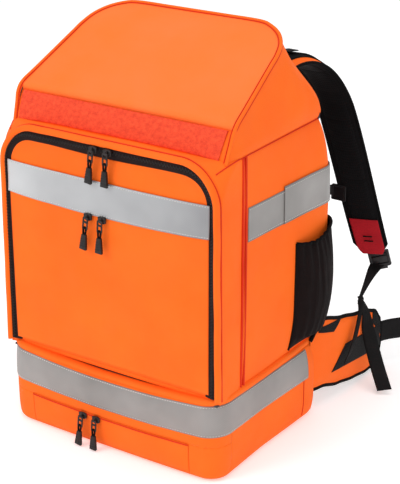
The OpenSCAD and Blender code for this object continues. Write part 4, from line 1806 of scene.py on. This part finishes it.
@dataclass
class HipBelt:
    """One padded hip fin with its binding, patches, belt webbing and buckle half."""

    side: Side
    lean: float = math.radians(4)
    root: float = -38
    tip: float = 190

    def spot(self, s: float, z: float, lift: float) -> Vector:
        """A point on the fin from its distance along it, height and distance outwards, in millimetres."""
        along = Vector((math.sin(self.lean), math.cos(self.lean), 0))
        out = Vector((math.cos(self.lean), -math.sin(self.lean), 0))
        p = mm(201, 154, 0) + along * (s + 6) * MM + out * (6 + lift) * MM + Vector((0, 0, z * MM))
        p.x *= self.side.value
        return p

    def rim(self, s: float) -> tuple[float, float]:
        """The fin's lower and upper edge at a distance along it, in millimetres."""
        lows = ((-60, 46), (0, 36), (49, 21), (100, 11), (140, 6), (170, 8), (184, 22), (190, 52))
        highs = ((-60, 128), (-38, 134), (-24, 146), (0, 160), (57, 142), (106, 130), (140, 122))
        highs += ((166, 113), (182, 94), (190, 62))
        return self.read(lows, s), self.read(highs, s)

    @staticmethod
    def read(table: Sequence[tuple[float, float]], s: float) -> float:
        """Reads a value between the entries of a short table."""
        for (a, low), (b, high) in zip(table, table[1:]):
            if s <= b:
                return mix(low, high, soft((s - a) / (b - a)) * 0.4 + (s - a) / (b - a) * 0.6)
        return table[-1][1]

    def build(self) -> None:
        """Builds the fin, its trim, the webbing and the buckle half."""
        label, body = self.side.label, f"hip_fin_{self.side.label}"

        def middle(u: float, v: float) -> Vector:
            """The fin's middle surface."""
            s = mix(self.root, self.tip, u)
            low, high = self.rim(s)
            return self.spot(s, mix(low, high, v), 0)

        def lift(u: float, v: float, way: int) -> Vector:
            """The crowned faces."""
            high = 6.0 * dome(u, 7) * dome(v, 4) + 0.4
            high += 0.7 * noise.noise(Vector((u * 7, v * 4, way * 3.0))) * dome(v, 3) * dome(u, 3)
            return self.spot(0, 0, way * high) - self.spot(0, 0, 0)

        fin = facing(pillow(f"fin_pad_{label}", 80, 40, middle, lift, (0.23, 0.12)), self.side)
        place_on(dress(fin, "shell", "pad_mesh"), body, "orange_fabric", f"fin_{label}")
        edge = [middle(i / 60, 0) for i in range(61)] + [middle(1, i / 10) for i in range(1, 11)]
        edge += [middle(1 - i / 60, 1) for i in range(1, 61)]
        place_on(dress(piping(f"fin_binding_{label}", edge, 3.4 * MM), "black"), body, "black_fabric")
        self.patches(body)
        self.belt()

    def patches(self, body: str) -> None:
        """The sewn black patches and stabiliser webbing on the fin's outer face."""
        label = self.side.label
        shapes = {
            "root": ((-18, 142), (24, 129), (54, 142), (-14, 150)),
            "wedge": ((22, 54), (186, 40), (176, 84), (62, 92)),
            "corner": ((150, 98), (187, 60), (184, 96), (158, 116)),
        }
        for name, (a, b, c, d) in shapes.items():

            def place(u: float, v: float, a=a, b=b, c=c, d=d) -> Vector:
                """A point on the patch."""
                s = mix(mix(a[0], b[0], u), mix(d[0], c[0], u), v)
                z = mix(mix(a[1], b[1], u), mix(d[1], c[1], u), v)
                low, high = self.rim(s)
                share = (z - low) / (high - low)
                whole = (s - self.root) / (self.tip - self.root)
                return self.spot(s, z, 6.0 * dome(whole, 7) * dome(share, 4) + 1.6)

            patch = facing(sheet(f"fin_{name}_patch_{label}", 40, 16, place, (0.16, 0.04)), self.side)
            place_on(dress(thicken(patch, 1.6 * MM), "strap"), body, "webbing")

    def belt(self) -> None:
        """The belt webbing and its buckle half."""
        label, flip = self.side.label, self.side.value
        body = f"hip_belt_{label}"
        keys = [(222, 348), (229, 362), (243, 380), (258, 396), (262, 410), (262, 424)]
        run = [mm(flip * x, y, 64) for x, y in keys]
        belt = webbing(f"belt_webbing_{label}", run, [mm(0, 0, 19.5)] * len(run), 2 * MM)
        place_on(dress(belt, "strap"), body, "webbing", f"belt_{label}")
        half = BuckleHalf.SOCKET if self.side is Side.LEFT else BuckleHalf.PLUG
        turn = Matrix(((0, -1, 0, 0), (0, 0, -1, 0), (1, 0, 0, 0), (0, 0, 0, 1)))
        length = 62 * MM if half is BuckleHalf.SOCKET else 71 * MM
        place = Matrix.Translation(mm(flip * 262, 418.5, 64)) @ turn
        size = Vector((50 * MM, 11 * MM, length))
        buckle = side_release(f"belt_buckle_{half.value}", half, size, place)
        place_on(dress(buckle, "buckle"), body, "buckle", f"belt_{half.value}")


@dataclass
class BackPanel:
    """The padded panel against the wearer's back, the grab handle and the lifter buckles."""

    back_y: float

    def cushion(self, name: str, low: Vector, high: Vector, ribs: int) -> bpy.types.Object:
        """One crowned cushion with sewn channels.

        Args:
            name: the object's name.
            low: its lowest corner.
            high: its highest corner.
            ribs: number of padded ribs between the channels.

        Returns:
            The cushion.
        """
        depth = high.y - low.y

        def middle(u: float, v: float) -> Vector:
            """The cushion's back plane, with rounded corners."""
            pull = 0.10 * abs(2 * v - 1) ** 10
            x = mix(high.x, low.x, mix(pull, 1 - pull, u))
            pull = 0.05 * abs(2 * u - 1) ** 10
            return Vector((x, low.y + 1.5 * MM, mix(low.z, high.z, mix(pull, 1 - pull, v))))

        def lift(u: float, v: float, way: int) -> Vector:
            """The crowned face and the flat back."""
            if way < 0:
                return Vector((0, -1.0 * MM, 0))
            part = (v * ribs) % 1
            groove = 0.35 * math.exp(-((part - (0 if part < 0.5 else 1)) / 0.10) ** 2)
            crown = (dome(u, 5) * dome(v, 7)) ** 0.6
            return Vector((0, (depth - 2.5 * MM) * crown * (1 - groove), 0))

        pad = pillow(name, 60, 90, middle, lift, (high.x - low.x, high.z - low.z))
        place_on(dress(pad, "pad_mesh", "black"), "pack", "black_fabric", "back_pads")
        return pad

    def build(self) -> None:
        """Builds the cushions, the handle and the buckles."""
        low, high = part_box("back_pads")
        for side in Side:
            x = 70 * MM * side.value
            self.cushion(
                f"upper_pad_{side.label}",
                Vector((x - 42 * MM, self.back_y + 0.2 * MM, high.z - 210 * MM)),
                Vector((x + 42 * MM, self.back_y + 18 * MM, high.z)),
                5,
            )
        start, end = (low.x, high.y - 22 * MM, low.z), (high.x, high.y, low.z + 150 * MM)
        self.cushion("lumbar_pad", Vector(start), Vector(end), 4)
        low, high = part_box("grab_handle")
        z = (low.z + high.z) / 2
        half = high.x - 1.5 * MM
        keys = [(-half, low.y), (-half, low.y + 14 * MM), (-half * 0.86, high.y - 9 * MM)]
        keys += [(-half * 0.4, high.y - 2 * MM)]
        keys += [(0, high.y - 1 * MM)] + [(-x, y) for x, y in reversed(keys)]
        run = [Vector((x, y, z)) for x, y in keys]
        handle = webbing("grab_handle_web", run, [mm(0, 0, 11.5)] * len(run), 3 * MM)
        place_on(dress(handle, "strap"), "grab_handle", "webbing", "grab_handle")
        low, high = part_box("lifter_buckles")
        y, z = (low.y + high.y) / 2, (low.z + high.z) / 2
        bm = bmesh.new()
        for side in Side:
            x = side.value * LIFTER_X * MM
            for dz in (-7.5, -1, 7.5):
                box_piece(bm, Vector((x, y, z + dz * MM)), mm(26, 5, 3))
            for dx in (-11.5, 11.5):
                box_piece(bm, Vector((x + dx * MM, y, z)), mm(3.4, 6, 18))
        round_edges(bm, 0.9 * MM, 2)
        locks = dress(make_object("lifter_ladder_locks", bm), "buckle")
        place_on(locks, "pack", "buckle", "lifter_buckles")


@dataclass
class ZipPull:
    """A zip slider with its tab, cord and moulded grip."""

    zone: str
    side: Side
    forward: float
    lean: float

    def build(self) -> None:
        """Builds the slider and the hanging pull."""
        label = f"{self.zone}_slider_{self.side.label}"
        low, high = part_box(label)
        size = (high.z - low.z) / (10 * MM)
        spot = Vector(((low.x + high.x) / 2, high.y - self.forward, (low.z + high.z) / 2))
        bm = bmesh.new()
        box_piece(bm, mm(0, -2.2, 0), mm(14, 3.4, 9))
        box_piece(bm, mm(0, -2.2, 0), mm(9, 3.6, 11))
        box_piece(bm, mm(0, -5.4, 0), mm(3.4, 2.4, 9))
        box_piece(bm, mm(0, -4.4, 3.6), mm(3.4, 3, 2.2))
        box_piece(bm, mm(0, -4.4, -3.6), mm(3.4, 3, 2.2))
        round_edges(bm, 0.8 * MM, 2)
        bmesh.ops.transform(bm, matrix=Matrix.Translation(spot), verts=bm.verts)
        slider = make_object(f"{label}_body", bm)
        place_on(dress(slider, "slider"), label, "slider", label)
        node = f"{self.zone}_pull_{self.side.label}"
        parts = [self.tab(), self.cord(), self.grip()]
        pull = join(f"{node}_set", parts)
        turn = Matrix.Translation(spot) @ Matrix.Rotation(self.lean, 4, "Y")
        turn = turn @ Matrix.Diagonal((size, 1, size, 1))
        pull.data.transform(turn)
        place_on(pull, node, "grip", node)

    def tab(self) -> bpy.types.Object:
        """The metal tab with its two eyes."""
        bm = bmesh.new()
        for z, wide in ((-0.5, 9), (-7, 9.5), (-17, 9.5)):
            box_piece(bm, mm(0, -8, z), mm(wide, 2.2, 3.2))
        for x in (-3.7, 3.7):
            box_piece(bm, mm(x, -8, -8.6), mm(2.4, 2.2, 17))
        round_edges(bm, 0.6 * MM, 2)
        return dress(make_object("tab", bm), "slider")

    def cord(self) -> bpy.types.Object:
        """The cord loop between the tab and the grip."""
        keys = [(-1.3, -29), (-2.2, -22), (-2.2, -17.5), (0, -14.8), (2.2, -17.5), (2.2, -22), (1.3, -29)]
        run = smooth_run([mm(x, -8.3 - 0.6 * (abs(x) < 0.5), z) for x, z in keys], 4)
        return dress(piping("cord", run, 1.6 * MM, sides=2), "black")

    def grip(self) -> bpy.types.Object:
        """The moulded grip, flared towards its lower end, with ribs."""
        bm = bmesh.new()
        box_piece(bm, mm(0, -8.4, -39.5), mm(12.5, 4.6, 25))
        for vert in bm.verts:
            if vert.co.z > -39 * MM:
                vert.co.x *= 0.62
        for z in (-34, -38, -42, -46):
            box_piece(bm, mm(0, -8.4, z), mm(mix(9.0, 12.8, (-z - 30) / 20), 5.3, 1.2))
        round_edges(bm, 0.7 * MM, 2)
        return dress(make_object("grip", bm), "grip")


# ---------------------------------------------------------------- studio


@dataclass
class Studio:
    """Pale floor, soft lights and the camera."""

    azimuth: float = 33.2
    elevation: float = 22.6
    distance: float = 2.3138
    target: tuple[float, float, float] = (0.0503, 0.0308, 0.3052)
    lens: float = 108.55
    sensor: float = 36
    glow: float = 0.34
    ambient: float = 0.62

    def build(self) -> None:
        """Makes the floor, the lights and the camera."""
        a, e = math.radians(self.azimuth), math.radians(self.elevation)
        back = Vector((math.sin(a) * math.cos(e), -math.cos(a) * math.cos(e), math.sin(e)))
        data = bpy.data.cameras.new("camera")
        data.lens = self.lens
        data.sensor_width = self.sensor
        camera = bpy.data.objects.new("camera", data)
        bpy.context.scene.collection.objects.link(camera)
        camera.location = Vector(self.target) + back * self.distance
        camera.rotation_mode = "QUATERNION"
        camera.rotation_quaternion = (-back).to_track_quat("-Z", "Y")
        bpy.context.scene.camera = camera
        bpy.context.scene.view_settings.view_transform = "Standard"

        bm = bmesh.new()
        bmesh.ops.create_grid(bm, x_segments=1, y_segments=1, size=14)
        floor = make_object("studio_floor", bm)
        floor.location.z = -0.5 * MM
        n = Nodes("pale_floor")
        n.set(Base_Color=(0.93, 0.93, 0.93, 1), Roughness=0.9)
        n.set(Emission_Color=(1, 1, 1, 1), Emission_Strength=self.glow)
        floor.data.materials.append(n.material)

        world = bpy.data.worlds.new("studio")
        bpy.context.scene.world = world
        world.use_nodes = True
        sky = world.node_tree.nodes["Background"]
        sky.inputs[0].default_value = (1, 1, 1, 1)
        sky.inputs[1].default_value = self.ambient
        for name, place, size, power in (
            ("key", (-1.4, -2.6, 2.6), 1.6, 44),
            ("fill", (2.8, -1.2, 1.6), 1.8, 12),
            ("top", (0.2, 0.3, 3.2), 2.0, 26),
        ):
            light = bpy.data.lights.new(name, "AREA")
            light.size = size
            light.energy = power
            lamp = bpy.data.objects.new(name, light)
            bpy.context.scene.collection.objects.link(lamp)
            lamp.location = place
            lamp.rotation_mode = "QUATERNION"
            lamp.rotation_quaternion = (Vector((0, 0, 0.3)) - Vector(place)).to_track_quat("-Z", "Y")


def dress_frame(frame: dict) -> None:
    """Gives every CAD node its slot's finish."""
    keys = {
        "board": "board",
        "stay": "aluminium",
        "slider": "slider",
        "grip": "grip",
        "buckle": "buckle",
        "webbing": "strap",
        "red_tab": "red_strap",
        "black_fabric": "black",
        "orange_fabric": "shell",
    }
    for part in frame["record"]["subparts"]:
        node = frame["nodes"][part["node"]]
        key = keys.get(part["material_slot"], "black")
        for slot in node.material_slots:
            slot.material = finish_of(key)


def main() -> None:
    logging.basicConfig(level=logging.INFO, format="%(name)s: %(message)s")
    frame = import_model()
    Studio().build()
    dress_frame(frame)
    base_low, base_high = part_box("base_wall")
    BaseCompartment(Vector((base_low.x, -base_high.y, 0)), base_high).build()
    side_low, side_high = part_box("side_right")
    MainBody(side_high.x, side_low.z - 2 * MM, side_high.z + 0.4 * MM, side_low.y, side_high.y).build()
    door_low, door_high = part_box("door_panel")
    arch = Arch(door_high.x, door_low.z, door_high.z, 48 * MM)
    FrontChamber(arch, -base_high.y, side_low.y, side_low.z - 2 * MM, side_high.z).build()
    band_low, band_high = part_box("door_band")
    FrontDoor(arch, door_low.y, band_low.z, band_high.z).build()
    Hood(side_high.z, side_high.x, side_high.y).build()
    for side in Side:
        ShoulderStrap(side).build()
        HipBelt(side).build()
        for zone, forward in (("front", 2.5), ("pocket", 5), ("base", 11.5)):
            lean = 7.0 if side is Side.LEFT else 3.0
            ZipPull(zone, side, forward * MM, math.radians(lean)).build()
    for half, flip in ((BuckleHalf.SOCKET, -1), (BuckleHalf.PLUG, 1)):
        place = Matrix.Translation(mm(flip * 117, 320, 240))
        buckle = side_release(f"sternum_buckle_{half.value}", half, mm(26, 8, 32 if flip > 0 else 30), place)
        body = f"sternum_{'left' if flip < 0 else 'right'}"
        place_on(dress(buckle, "buckle"), body, "buckle", f"sternum_{half.value}")
    BackPanel(side_high.y).build()


if __name__ == "__main__":
    main()
